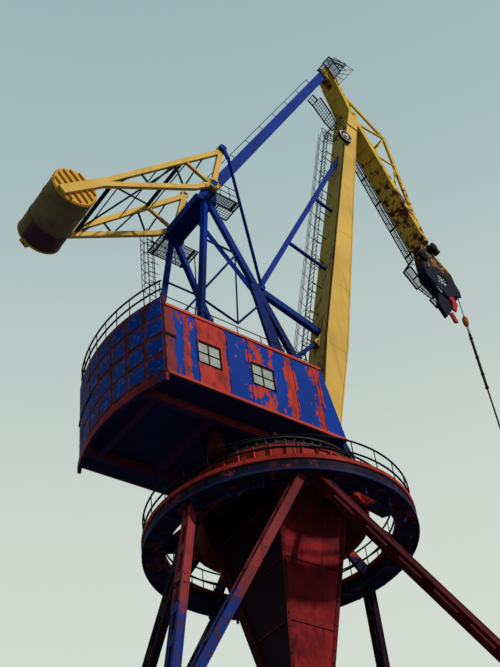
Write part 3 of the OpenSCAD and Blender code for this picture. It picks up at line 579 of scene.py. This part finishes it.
def makeFeet():
    flanges, caps = [], []
    for number in range(4):
        for x in (-foot["wheel"], foot["wheel"]):
            ends = atFoot(number, [(x, y, foot["hubZ"]) for y in foot["flange"]])
            flanges.append(tube(ends, foot["flangeD"], 32))
            for face in (-1, 1):
                ends = atFoot(number, [(x, face * y, foot["hubZ"]) for y in foot["cap"]])
                caps.append(tube(ends, foot["capD"], 6))
        for z in foot["straps"]:
            edge = atFoot(number, [(x, y, z) for x, y in square(0, 0, foot["strapHalf"])])
            caps.append(barAlong(edge, 5, 6, True))
    piece("wheel_flanges", flanges, "portal", "wheel_steel")
    piece("foot_straps", caps, "portal", "portal_navy")


makeFeet()

column = {"top": 1421, "foot": 431, "halfX": (70, 185), "halfY": (32, 250), "strip": 16, "rivet": 7, "pitch": 42,
          "bands": (560, 1400, 210), "webInset": 16}


def columnHalf(z):
    # Half widths that grow evenly from foot to top
    t = (z - column["foot"]) / (column["top"] - column["foot"])
    return tuple(low + (high - low) * t for low, high in (column["halfX"], column["halfY"]))


def makeColumn():
    strips, rivets = [], []
    inset, low, high = column["strip"] / 2, column["foot"] + 8, column["top"] - 2
    (lowX, lowY), (highX, highY) = columnHalf(low), columnHalf(high)
    for sx in (-1, 1):
        for sy in (-1, 1):
            strips.append(beam((sx * (lowX - inset), sy * (lowY + 1), low),
                               (sx * (highX - inset), sy * (highY + 1), high), column["strip"], 4))
            for z in np.arange(low + 12, high - 8, column["pitch"]):
                halfX, halfY = columnHalf(z)
                rivets.append(disc(sx * (halfX - inset), sy * (halfY + 4), z, column["rivet"], 3, 8))
    for z in np.arange(*column["bands"]):
        halfX, halfY = columnHalf(z)
        for side in (-1, 1):
            x, y = side * (halfX - column["webInset"]), side * (halfY + 0.5)
            strips.append(beam((12 - halfX, y, z), (halfX - 12, y, z), 9, 3))
            strips.append(beam((x, 18 - halfY, z), (x, halfY - 18, z), 8, 6))
    piece("column_strips", strips, "superstructure", "column_red", "column_trim")
    piece("column_rivets", rivets, "superstructure", "column_red", "column_trim")


makeColumn()

house = {"seams": (-528, -394, -297, -84, 42), "rib": 5, "rail": 12, "roofFront": 60, "windows": (-238, -480),
         "window": 102, "windowZ": 1618, "rows": 4, "columns": 7, "gap": 9, "bandZ": 1640, "band": 12,
         "bandLong": 44, "rearTrim": 0.6}


def makeHouse():
    seams, black, panels, edges = [], [], [], []
    r, wall, floor, roof = crane["houseR"], crane["houseHalf"], crane["floorZ"], crane["roofZ"]
    rear, half, windowZ = -math.sqrt(r ** 2 - wall ** 2), house["window"] / 2, house["windowZ"]
    band, bandZ = house["band"], house["bandZ"]
    for side in (-1, 1):
        y, barY = side * (wall + 1), side * (wall - 3)
        seams += [beam((x, y, floor + 8), (x, y, roof - 6), house["rib"], 3) for x in house["seams"]]
        for z, front, wide in ((floor + 5, crane["houseFront"], 6), (roof - 5, house["roofFront"], 7)):
            edges.append(beam((rear + 4, y, z), (front, y, z), house["rail"], wide))
        black.append(beam((rear, y, bandZ), (rear + house["bandLong"], y, bandZ), band, 6))
        for x in house["windows"]:
            black.append(barAlong(upright(square(x, windowZ, half), y), 5, 5, True))
            black.append(beam((x, barY, windowZ - half), (x, barY, windowZ + half), 6, 3))
            black.append(beam((x - half, barY, windowZ), (x + half, barY, windowZ), 3, 6))
    reach = math.degrees(math.asin(wall / r)) - house["rearTrim"]
    black.append(shell(r - 1, r + 6, bandZ - band / 2, bandZ + band / 2, 180 - reach, 180 - reach / 3, 24))
    wide, gap = 2 * reach / house["columns"], house["gap"] / 2
    low, high = floor + 12, roof + crane["parapet"] - 4
    tall, margin = (high - low) / house["rows"], math.degrees(gap / r)
    for row in range(house["rows"]):
        for k in range(house["columns"]):
            z, start = low + row * tall, 180 - reach + k * wide
            panels.append(shell(r - 1, r + 2.5, z + gap, z + tall - gap, start + margin, start + wide - margin, 5))
    piece("house_seams", seams, "superstructure", "house_blue")
    piece("house_rails", edges, "superstructure", "house_blue", "edge_red")
    piece("window_frames", black, "superstructure", "rail_black", bevel=0.8)
    piece("rear_panels", panels, "superstructure", "house_blue", "rear_wall", bevel=0.8)


makeHouse()

# Gratings, railings and ladders


def railing(p, q, posts, high, up=(0, 0, 1), d=4):
    # Posts at even shares from p to q, with a middle and a top rail
    p, q, up = (np.array(v, float) for v in (p, q, up))
    feet = [between(p, q, t) for t in np.linspace(0, 1, posts + 1)]
    lines = [tube([p + up * high * level, q + up * high * level], d * 0.9, 6) for level in (0.5, 1)]
    return [tube([foot, foot + up * high], d, 6) for foot in feet] + lines


def crossBars(p, q, shares, half, d):
    # Round bars across the run from p to q, at the shares given
    return [tube([between(p, q, t) - half, between(p, q, t) + half], d, 5) for t in shares]


def grating(p, q, wide, pitch=13, rim=6):
    # Two edge bars, flat bars along the run and round bars across it
    p, q = np.array(p, float), np.array(q, float)
    half = np.array((0, wide / 2, 0))
    parts = [beam(p + half * side, q + half * side, rim, 3) for side in (-1, 1)]
    parts += [beam(end - half, end + half, rim, 4) for end in (p, q)]
    parts += [beam(p + half * k, q + half * k, 3, 1.6) for k in np.linspace(-0.8, 0.8, 5)]
    return parts + crossBars(p, q, np.linspace(0, 1, int(np.linalg.norm(q - p) / pitch) + 1), half, 2.6)


def lattice(corners, across, along, d, rim=6):
    # A framed quadrilateral with bars between its opposite sides
    a, b, c, e = corners
    parts = [barAlong(corners, rim, rim, True)]
    for p, q, r, end, count in ((a, e, b, c, along), (a, b, e, c, across)):
        shares = np.linspace(0, 1, count + 2)[1:-1]
        parts += [tube([between(p, q, t), between(r, end, t)], d, 5) for t in shares]
    return parts


def ladder(p, q, y, wide=32, pitch=30, d=5, rung=3):
    # Two stiles from p to q with a rung at each pitch
    p, q = np.array((p[0], y, p[1]), float), np.array((q[0], y, q[1]), float)
    half, length = np.array((wide / 2, 0, 0)), np.linalg.norm(q - p)
    parts = [tube([p + half * side, q + half * side], d, 6) for side in (-1, 1)]
    return parts + crossBars(p, q, np.arange(pitch / 2, length, pitch) / length, half, rung)


# Places along the boom; those below zero count back from its head
boomTrim = {"seams": (180, -120, 470), "edges": (40, 700, -100), "flange": 6, "hoop": 35, "deeper": 1.3,
            "cage": (420, -270, 118), "ladder": (260, 2690), "ladderY": 42, "ladderBack": 108, "stile": 20,
            "deck": (-74, -4), "deckWide": 128, "deckRail": 84}


def cageBar(s, a):
    # An oval round the ladder's back: s along the boom, the angle a about the ladder
    r = boomTrim["hoop"]
    return onBoom(s, -boomTrim["ladderBack"] - r * boomTrim["deeper"] * math.cos(a) - 4,
                  boomTrim["ladderY"] + r * math.sin(a))


def makeBoom():
    trim, cage, wide, flange = [], [], boomHalfWide, boomTrim["flange"]
    first, last, pitch = boomTrim["seams"]
    for s in np.arange(first, boomLength + last, pitch):
        corners = [onBoom(s, d * boomHalfDeep(s), y * wide) for d, y in square(0, 0, 1)]
        trim.append(barAlong(corners, 3, 2, True))
    marks = [s % boomLength for s in boomTrim["edges"]]
    for y in (-wide - 1, wide + 1):
        for face in (-1, 1):
            route = [onBoom(s, face * (boomHalfDeep(s) - flange / 2), y) for s in marks]
            trim.append(barAlong(route, flange, 3))
    piece("boom_trim", trim, "boom_body", "boom_ochre")
    first, last, pitch = boomTrim["cage"]
    last += boomLength
    for s in np.arange(first, last, pitch):
        cage.append(tube([cageBar(s, a) for a in np.radians((-105, -50, 50, 105))], 3.4, 5))
    cage += [tube([cageBar(first, a), cageBar(last, a)], 3, 5) for a in np.radians((-60, -20, 20, 60))]
    (low, high), y, back, stile = boomTrim["ladder"], boomTrim["ladderY"], boomTrim["ladderBack"], boomTrim["stile"]
    for side in (y - stile, y + stile):
        cage.append(tube([onBoom(low, -back, side), onBoom(high, -back, side)], 5, 6))
        cage += [tube([onBoom(s, -back, side), onBoom(s, -40, side)], 5, 6) for s in np.linspace(low, high, 12)]
    for s in np.arange(low + 20, high, 40):
        cage.append(tube([onBoom(s, -back, y - stile), onBoom(s, -back, y + stile)], 3.4, 5))
    start, stop = (onBoom(high + 30, -boomHalfDeep(high)) + (x, 0, 3) for x in boomTrim["deck"])
    cage += grating(start, stop, boomTrim["deckWide"], 12)
    for side in (2 - boomTrim["deckWide"] / 2, boomTrim["deckWide"] / 2 - 2):
        cage += railing(start + (0, side, 3), stop + (-8, side, 3), 2, boomTrim["deckRail"])
    piece("boom_cage", cage, "boom_body", "rail_black", replaces=["boom_ladder"])


makeBoom()

lever = {"y": 158, "top": ((-190, 0, 3150), (-827, 0, 2548)), "low": ((-362, 0, 2791), (-827, 0, 2515)),
         "ties": ((0.16, 0.12), (0.42, 0.12), (0.42, 0.5), (0.72, 0.5), (0.72, 0.86)), "bar": 7,
         "rods": (0.3, 0.55, 0.8)}


def makeLever():
    bars, ribs, seams = [], [], []
    x, z, r, half = drum["x"], drum["z"], drum["d"] / 2, drum["half"]
    for y in (-lever["y"], lever["y"]):
        for a, b in lever["ties"]:
            ends = between(*lever["top"], a) + (0, y, 0), between(*lever["low"], b) + (0, y, 0)
            bars.append(beam(*ends, lever["bar"], lever["bar"]))
    for share in lever["rods"]:
        middle = between(*lever["top"], share)
        bars.append(tube([middle - (0, half, 0), middle + (0, half, 0)], 6))
    piece("lever_ties", bars, "lever_body", "nose_black", "rail_black")
    run, lift = np.array(drum["finAlong"]), np.array((-drum["finAlong"][2], 0, drum["finAlong"][0]))
    for k in drum["fins"]:
        reach = math.sqrt(1 - k * k) * r - 9
        centre = np.array((x, -half - 5, z)) + lift * k * r
        ribs.append(beam(centre - run * reach, centre + run * reach, 2.4, 11))
    for side in (-1, 1):
        ribs.append(disc(x, side * (half + 1), z, 2 * r - 4, 3))
        ribs.append(barAlong(ellipse(x, side * (half - 4), z, r, r, fullTurn(40)), 5, 8, True))
    for y in drum["seams"]:
        seams.append(barAlong(ellipse(x, y, z, r + 0.5, r + 0.5, fullTurn(40)), 4, 7, True))
    piece("drum_ribs", ribs, "lever_body", "drum_ochre", "drum_face")
    piece("drum_seams", seams, "lever_body", "drum_ochre")


makeLever()

jibTrim = {"under": ((928, 4839), (1005, 4490), (1354, 3528)), "fork": ((924, 4962), (957, 4846), (970, 4788)),
           "half": 58, "rib": 6, "pitch": 96, "proud": 2}


def makeJib():
    knee, bend, end = np.array(jibTrim["under"], float)
    along = unit(end - bend)
    out = np.array((along[1], -along[0])) * jibTrim["proud"]
    half, ribs = jibTrim["half"], []
    for s in np.arange(60, np.linalg.norm(end - bend), jibTrim["pitch"]):
        x, z = bend + along * s + out
        ribs.append(beam((x, -half, z), (x, half, z), jibTrim["rib"], 4))
    for y in (2 - half, half - 2):
        line = upright((knee + out, bend + out, end + out), y)
        ribs += [beam(p, q, 6, 6) for p, q in zip(line, line[1:])]
    fork = upright(jibTrim["fork"], 0)
    ribs += [beam(p, q, 4, 48) for p, q in zip(fork, fork[1:])]
    piece("jib_ribs", ribs, "jib_body", "boom_ochre", "jib_ochre")


makeJib()

ropes = {"d": 4, "boom": ((300, -70, -60), (2560, -52, -70)),
         "jib": ((1050, 4452), (1150, 4200), (1400, 3480), (1541, 3252))}


def makeRopes():
    boomLines = [tube([onBoom(s, d, y + shift) for s, d, y in ropes["boom"]], ropes["d"], 6) for shift in (-10, 0)]
    piece("boom_ropes", boomLines, "boom_body", "rope_steel")
    jibLines = [tube(upright(ropes["jib"], y), ropes["d"], 6) for y in (-4, 4)]
    piece("jib_ropes", jibLines, "jib_body", "rope_steel")


makeRopes()

head = {"ladderX": -368, "ladderY": 199, "top": 2810, "low": 2460, "pitch": 66, "hoop": 37, "deeper": 1.3,
        "wire": ((-386, 2350), (-402, 1792)), "wires": (-150, -146)}


def headBar(a, z):
    # An oval round the ladder's back, at the angle a
    return (head["ladderX"] - head["hoop"] * head["deeper"] * math.cos(a),
            head["ladderY"] + head["hoop"] * math.sin(a), z)


def makeHead():
    low, high, turn = head["low"], head["top"], np.radians(np.linspace(-110, 110, 11))
    parts = [tube([headBar(a, z) for a in turn], 3.2, 5) for z in np.arange(low, high, head["pitch"])]
    parts += [tube([headBar(a, low), headBar(a, high)], 3, 5) for a in np.radians((-70, -25, 25, 70))]
    parts += [tube(upright(head["wire"], y), 2.6, 5) for y in head["wires"]]
    piece("head_cage", parts, "superstructure", "rail_black")


makeHead()

# Walkways and cages of the upper works

walkway = {"run": ((1063, 105, 4402), (1385, 105, 3517)), "wide": 46, "lean": 20, "posts": 9, "high": 90,
           "brackets": (0.18, 0.38, 0.58, 0.78, 0.98)}


def makeWalkway():
    (start, stop), lean = np.array(walkway["run"]), math.radians(walkway["lean"])
    parts = grating(start, stop, walkway["wide"], 12)
    parts += railing(start + (0, 19, 0), stop + (0, 19, 0), walkway["posts"], walkway["high"],
                     (math.cos(lean), 0, math.sin(lean)))
    for s in walkway["brackets"]:
        x, z = 1374 + 350 * (s - 1), 3535 - 962 * (s - 1)
        parts.append(beam((x, 57, z), (x, 124, z), 9, 8))
    piece("walkway_grating", parts, "jib_body", "rail_black", replaces=["jib_walkway"])


makeWalkway()

tail = {"deck": ((927, 0, 5067), (1085, 0, 5117)), "wide": 120,
        "rails": (((985, 5112), (1141, 5095), (950, 4767)), ((967, 5060), (1067, 5034), (943, 4795)),
                  ((958, 5030), (1013, 4978), (941, 4827))),
        "panels": (((849, 4928), (925, 5068), (957, 5036), (884, 4894)),
                   ((884, 4894), (959, 5026), (998, 4965), (926, 4815))),
        "mesh": ((((826, 4628), (918, 4776), (979, 4664), (896, 4506)), 3, 6),
                 (((896, 4506), (979, 4664), (1015, 4540), (950, 4451)), 3, 4),
                 (((794, 4652), (849, 4755), (881, 4731), (825, 4622)), 1, 1))}


def makeTail():
    low, high = np.array(tail["deck"])
    parts = grating(low, high, tail["wide"], 12)
    for y in (-40, 40):
        parts.append(beam((912, y, 4937), low + (20, y, 2), 9, 10))
        parts.append(beam((929, y, 4901), low + (110, y, 30), 7, 8))
        parts.append(beam(low + (0, y, 0), high + (0, y, 0), 8, 5))
    for y in (-57, 57):
        parts.append(beam(low + (0, y, 8), high + (0, y, 8), 12, 2))
    rails = [upright(line, -62) for line in tail["rails"]]
    parts += [tube(line, 4, 6) for line in rails]
    parts += [tube([line[k] for line in rails], 4, 6) for k in range(3)]
    for k in (0, 1):
        for t in (0.33, 0.66):
            parts.append(tube([between(line[k], line[k + 1], t) for line in rails], 3.4, 6))
    for panel in tail["panels"]:
        parts += lattice(upright(panel, -64), 1, 0, 3, 8)
    for corners, across, along in tail["mesh"]:
        parts += lattice(upright(corners, 80), across, along, 4, 8)
    sheets = [plate(panel, -64, 2) for panel in tail["panels"]]
    piece("tail_panels", sheets, "jib_body", "portal_navy", "panel_pale")
    piece("tail_cage", parts, "jib_body", "rail_black", replaces=["tail_platform"])


makeTail()

# Gratings and sheets run from the first place to the deck's front at one y, and have a width
deck = {"z": 2777, "front": -137, "gratings": ((-293, -169, 52), (-218, -113, 60), (-342, 203, 120)),
        "sheets": ((-290, -169, 48), (-340, 203, 114)), "rails": ((-293, -191, 3), (-342, 260, 4)), "high": 88,
        "bearers": ((-320, 143, 263), (-160, 143, 263), (-280, -143, -195), (-160, -143, -195)),
        "stays": (((-368, 199, 2384), (-352, 160, 2384), 8), ((-368, 199, 2777), (-340, 199, 2777), 5)),
        "landing": 2384, "foot": (-464, 1790)}


def makeHeadPlatform():
    z, front, x, y, parts = deck["z"], deck["front"], head["ladderX"], head["ladderY"], []
    for back, side, wide in deck["gratings"]:
        parts += grating((back, side, z), (front, side, z), wide)
    for back, side, posts in deck["rails"]:
        parts += railing((back, side, z), (front, side, z), posts, deck["high"])
    parts += [beam((at, p, z - 6), (at, q, z - 6), 9, 7) for at, p, q in deck["bearers"]]
    parts += ladder((x, z + 77), (x, deck["landing"]), y) + ladder((x, deck["landing"]), deck["foot"], y)
    parts += [tube([p, q], d, 6) for p, q, d in deck["stays"]]
    sheets = [beam((back, side, z - 4), (front - 3, side, z - 4), 1.5, wide) for back, side, wide in deck["sheets"]]
    piece("head_mesh", sheets, "superstructure", "rail_black", "panel_pale")
    piece("head_grating", parts, "superstructure", "rail_black", replaces=["head_platform"])


makeHeadPlatform()

# Jib nose: cheek plates with a window between the sheaves, hanging gear and small platforms

nose = {"upper": ((1330, 3560), (1398, 3572), (1418, 3450), (1520, 3352), (1532, 3300), (1303, 3300), (1300, 3330),
                  (1325, 3420)),
        "left": ((1303, 3302), (1406, 3302), (1396, 3232), (1360, 3200), (1311, 3240)),
        "right": ((1462, 3302), (1532, 3302), (1561, 3233), (1462, 3223)),
        "lower": ((1356, 3204), (1396, 3234), (1462, 3224), (1561, 3234), (1556, 3186), (1500, 3172), (1440, 3130)),
        "farHigh": ((1330, 3560), (1398, 3572), (1418, 3450), (1480, 3380), (1450, 3372), (1325, 3420)),
        "farLow": ((1325, 3424), (1452, 3374), (1440, 3250), (1561, 3232), (1556, 3186), (1440, 3130),
                   (1311, 3240)),
        "box": ((1352, 3051), (1378, 3140), (1463, 3165), (1466, 3066), (1394, 2970)),
        "bracket": ((1439, 3147), (1482, 3173), (1502, 3102), (1472, 3033), (1447, 3045), (1463, 3098)),
        "foot": ((1424, 3010), (1450, 3030), (1474, 2962), (1446, 2950)),
        "panels": (((1285, 3371), (1362, 3271), (1437, 3357), (1365, 3462)),
                   ((1451, 3231), (1494, 3189), (1575, 3290), (1530, 3329))),
        "webs": (((1312, 0, 3290), (1318, 0, 3420)), ((1318, 0, 3238), (1388, 0, 3156))),
        "spacers": ((1350, 3405), (1420, 3475)), "edge": ((1398, 3566), (1418, 3452), (1518, 3354)),
        "lip": ((1532, -35, 3298), (1522, -35, 3352), (1424, -35, 3446)), "barX": (1421, 1443),
        "barZ": (3256, 3280),
        "discs": ((1405, -52, 3500, 44, 34, 20), (1432, -50, 3478, 34, 30, 20), (1405, -38, 3500, 62, 8, 20),
                  (1405, -66, 3500, 52, 5, 20), (1318, -40, 3398, 74, 8, 24), (1318, -40, 3398, 60, 20, 24),
                  (1318, -40, 3398, 22, 30, 24)),
        "bolts": ((1340, 3520), (1360, 3480), (1400, 3430), (1330, 3312), (1345, 3260)),
        "gratings": (((1372, 80, 3281), (1462, 80, 3248)), ((1385, 105, 3517), (1300, 96, 3390))),
        "arms": ((1340, 3330), (1470, 3246)), "rail": ((1362, 100, 3271), (1451, 100, 3231))}


def makeNose():
    plates = [plate(nose[part], -30, 8) for part in ("upper", "left", "right", "lower")]
    plates += [plate(nose[part], 30, 8) for part in ("farHigh", "farLow")]
    plates += [beam(p, q, 8, 58) for p, q in nose["webs"]] + [plate(nose["box"], -10, 24)]
    plates += [disc(x, 0, z, 20, 70, 16) for x, z in nose["spacers"]]
    trim = [barAlong(upright(nose["edge"], y), 8, 5) for y in (-34.8, 34.8)]
    trim.append(barAlong(nose["lip"], 4, 4))
    bars = [beam((x, -30, 3302), (x - 6, -30, 3226), 3, 3) for x in nose["barX"]]
    bars += [beam((1400, -30, z), (1464, -30, z - 6), 3, 3) for z in nose["barZ"]]
    bars += [disc(*row) for row in nose["discs"]] + [disc(x, -36.5, z, 9, 5, 6) for x, z in nose["bolts"]]
    for start, stop in nose["gratings"]:
        bars += grating(start, stop, 40, 14, 5)
    bars += [beam((x, 28, z), (x, 96, z), 6, 6) for x, z in nose["arms"]]
    for panel in nose["panels"]:
        a, b, c, e = upright(panel, 101)
        bars.append(barAlong([a, b, c, e], 9, 8, True))
        bars.append(barAlong([between(a, e, 0.3), between(b, c, 0.3)], 4, 4))
    bars += railing(*nose["rail"], 4, 96, (0.64, 0, 0.77), 3.4)
    piece("nose_plates", plates, "jib_body", "nose_black", bevel=1.0, replaces=["jib_nose"])
    piece("nose_trim", trim, "jib_body", "boom_ochre", replaces=["jib_nose"])
    piece("nose_gratings", bars, "jib_body", "rail_black", replaces=["jib_nose"])
    sheets = [plate(panel, 101, 2) for panel in nose["panels"]]
    piece("nose_panels", sheets, "jib_body", "portal_navy", "panel_pale")
    hanging = [plate(nose["bracket"], -28, 10), plate(nose["foot"], -18, 12)]
    piece("nose_bracket", hanging, "jib_body", "ring_red", "bracket_red", bevel=1.0)


makeNose()

stiffeners = {"count": 36, "deep": 7, "low": 33, "high": 34, "proud": 5}


def makeStiffeners():
    low, high = crane["ringZ"] + stiffeners["low"], crane["rackTop"] - stiffeners["high"]
    r, parts = crane["rollerR"] + stiffeners["proud"], []
    for a in fullTurn(stiffeners["count"]):
        x, y = r * math.cos(a), r * math.sin(a)
        parts.append(beam((x, y, low), (x, y, high), stiffeners["deep"], stiffeners["deep"]))
    piece("roller_stiffeners", parts, "portal", "ring_red")


makeStiffeners()

# Hoist gear: a ball weight, a shackle and a sling down to the hook


def turnedUp(x, y, levels, sides=32):
    # Radius by level, turned about an upright axis: rows are levels, columns are angles
    radius, z = np.array(levels, float).T
    t = fullTurn(sides)
    grid = np.stack([x + radius[:, None] * np.cos(t), y + radius[:, None] * np.sin(t),
                     np.repeat(z[:, None], sides, 1)], -1)
    return grid.reshape(-1, 3), gridFaces(*grid.shape[:2])


hoist = {"x": 1572, "ball": ((5, 2999), (10, 3004), (14, 3012), (16, 3022), (16, 3052), (14, 3060), (9, 3068),
                             (5, 3076)),
         "sling": ((6.5, 2544), (7.5, 2552), (7.5, 2936), (5, 2944)), "line": ((4.5, 2150), (4.5, 2546)),
         "block": ((6, 2106), (15, 2112), (17, 2120), (17, 2146), (14, 2153), (5, 2157)),
         "collar": ((9, 0), (10, 3), (10, 9), (9, 12)), "collars": (2548, 2640, 2760, 2900),
         "links": (2986, 2958), "hookZ": 2076, "hookR": 27, "hookD": 13}


def makeHoist():
    x, r = hoist["x"], hoist["hookR"]
    piece("ball_weight", [turnedUp(x, 0, hoist["ball"])], "rope_body", "hook_orange", replaces=["load_hook"])
    gear = [tube(ellipse(x, 0, z, 7, 14, fullTurn(20)), 5, 6, True) for z in hoist["links"]]
    turn = np.radians(np.linspace(80, -200, 24))
    gear.append(tube(ellipse(x, 0, hoist["hookZ"], r, r, turn), hoist["hookD"], 10))
    gear += [turnedUp(x, 0, hoist[key]) for key in ("sling", "line", "block")]
    gear += [turnedUp(x, 0, [(wide, z + up) for wide, up in hoist["collar"]], 12) for z in hoist["collars"]]
    piece("sling_and_hook", gear, "rope_body", "rope_steel", replaces=["load_hook"])


makeHoist()

sheave = {"x": 855, "y": -89, "z": 4128, "rims": ((44, 7), (20, 4)), "hub": (22, 10), "web": (74, 3)}


def makeSheave():
    x, y, z = sheave["x"], sheave["y"], sheave["z"]
    rims = [tube(ellipse(x, y - 1, z, r, r, fullTurn(40)), d, 8, True) for r, d in sheave["rims"]]
    rims.append(disc(x, y - 4, z, *sheave["hub"], 20))
    piece("sheave_rims", rims, "boom_body", "sheave_white")
    piece("sheave_web", [disc(x, y, z, *sheave["web"])], "boom_body", "sheave_iron")


makeSheave()

# Camera: fitted to the photograph's perspective

lens = {"place": (-2.2358, -2.5484, -0.9565), "yaw": 48.88, "pitch": 42.963, "roll": -7.656,
        "focalPx": 1075.17, "heightPx": 667, "sensor": 36}


def makeCamera():
    yaw, pitch, roll = (math.radians(lens[k]) for k in ("yaw", "pitch", "roll"))
    ahead = Vector((math.cos(pitch) * math.cos(yaw), math.cos(pitch) * math.sin(yaw), math.sin(pitch)))
    level = Vector((math.sin(yaw), -math.cos(yaw), 0))
    over = level.cross(ahead)
    right = level * math.cos(roll) + over * math.sin(roll)
    up = over * math.cos(roll) - level * math.sin(roll)
    data = bpy.data.cameras.new("camera")
    data.sensor_fit = "VERTICAL"
    data.sensor_height = lens["sensor"]
    data.lens = lens["sensor"] * lens["focalPx"] / lens["heightPx"]
    data.clip_end = 60
    camera = bpy.data.objects.new("camera", data)
    camera.matrix_world = Matrix.Translation(lens["place"]) @ Matrix((right, up, -ahead)).transposed().to_4x4()
    scene.collection.objects.link(camera)
    scene.camera = camera


makeCamera()

# Studio: a pale floor that can't be seen from below, a soft sun and a pale surround

studio = {"reach": 40, "floor": "#d2dad2", "bounce": "#5c6270", "sun": 3.2, "sunTurn": 3,
          "sunWarm": (1.0, 0.96, 0.9), "sunFrom": (0.35, -1.0, 0.75), "low": "#d3dcd2", "high": "#97b1b7",
          "light": (0.26, 0.31, 0.33, 1)}


def makeFloor():
    mesh = bpy.data.meshes.new("studio_floor")
    mesh.from_pydata([(x, y, 0) for x, y in square(0, 0, studio["reach"])], [], [(0, 1, 2, 3)])
    floor = bpy.data.objects.new("studio_floor", mesh)
    scene.collection.objects.link(floor)
    made, t, shader = newMaterial("studio_floor")
    ground = t.mix(t.add("LightPath").outputs["Is Camera Ray"], studio["bounce"], studio["floor"])
    t.fill(shader, {"Base Color": ground, "Roughness": 0.9})
    either = t.add("MixShader", i0=t.add("NewGeometry").outputs["Backfacing"], i1=shader.outputs[0],
                   i2=t.add("BsdfTransparent").outputs[0])
    t.link(either.outputs[0], t.nodes["Material Output"].inputs[0])
    mesh.materials.append(made)


def makeLights():
    data = bpy.data.lights.new("sun", "SUN")
    data.energy, data.angle, data.color = studio["sun"], math.radians(studio["sunTurn"]), studio["sunWarm"]
    sun = bpy.data.objects.new("sun", data)
    sun.rotation_euler = Vector(studio["sunFrom"]).to_track_quat("Z", "Y").to_euler()
    scene.collection.objects.link(sun)
    world = bpy.data.worlds.new("surround")
    world.use_nodes = True
    t = Nodes(world.node_tree)
    rays = t.add("LightPath").outputs
    seen = t.math("MAXIMUM", rays["Is Camera Ray"], rays["Is Glossy Ray"])
    seen = t.math("MAXIMUM", seen, rays["Is Transmission Ray"])
    up = t.split(t.add("TexCoord").outputs["Generated"])[2]
    sky = t.mix(t.ramp(up, 0.42, 0.95), studio["low"], studio["high"])
    t.fill(t.nodes["Background"], {"Color": t.mix(seen, studio["light"], sky), "Strength": 1.0})
    scene.world = world


makeFloor()
makeLights()
scene.view_settings.view_transform = "Standard"
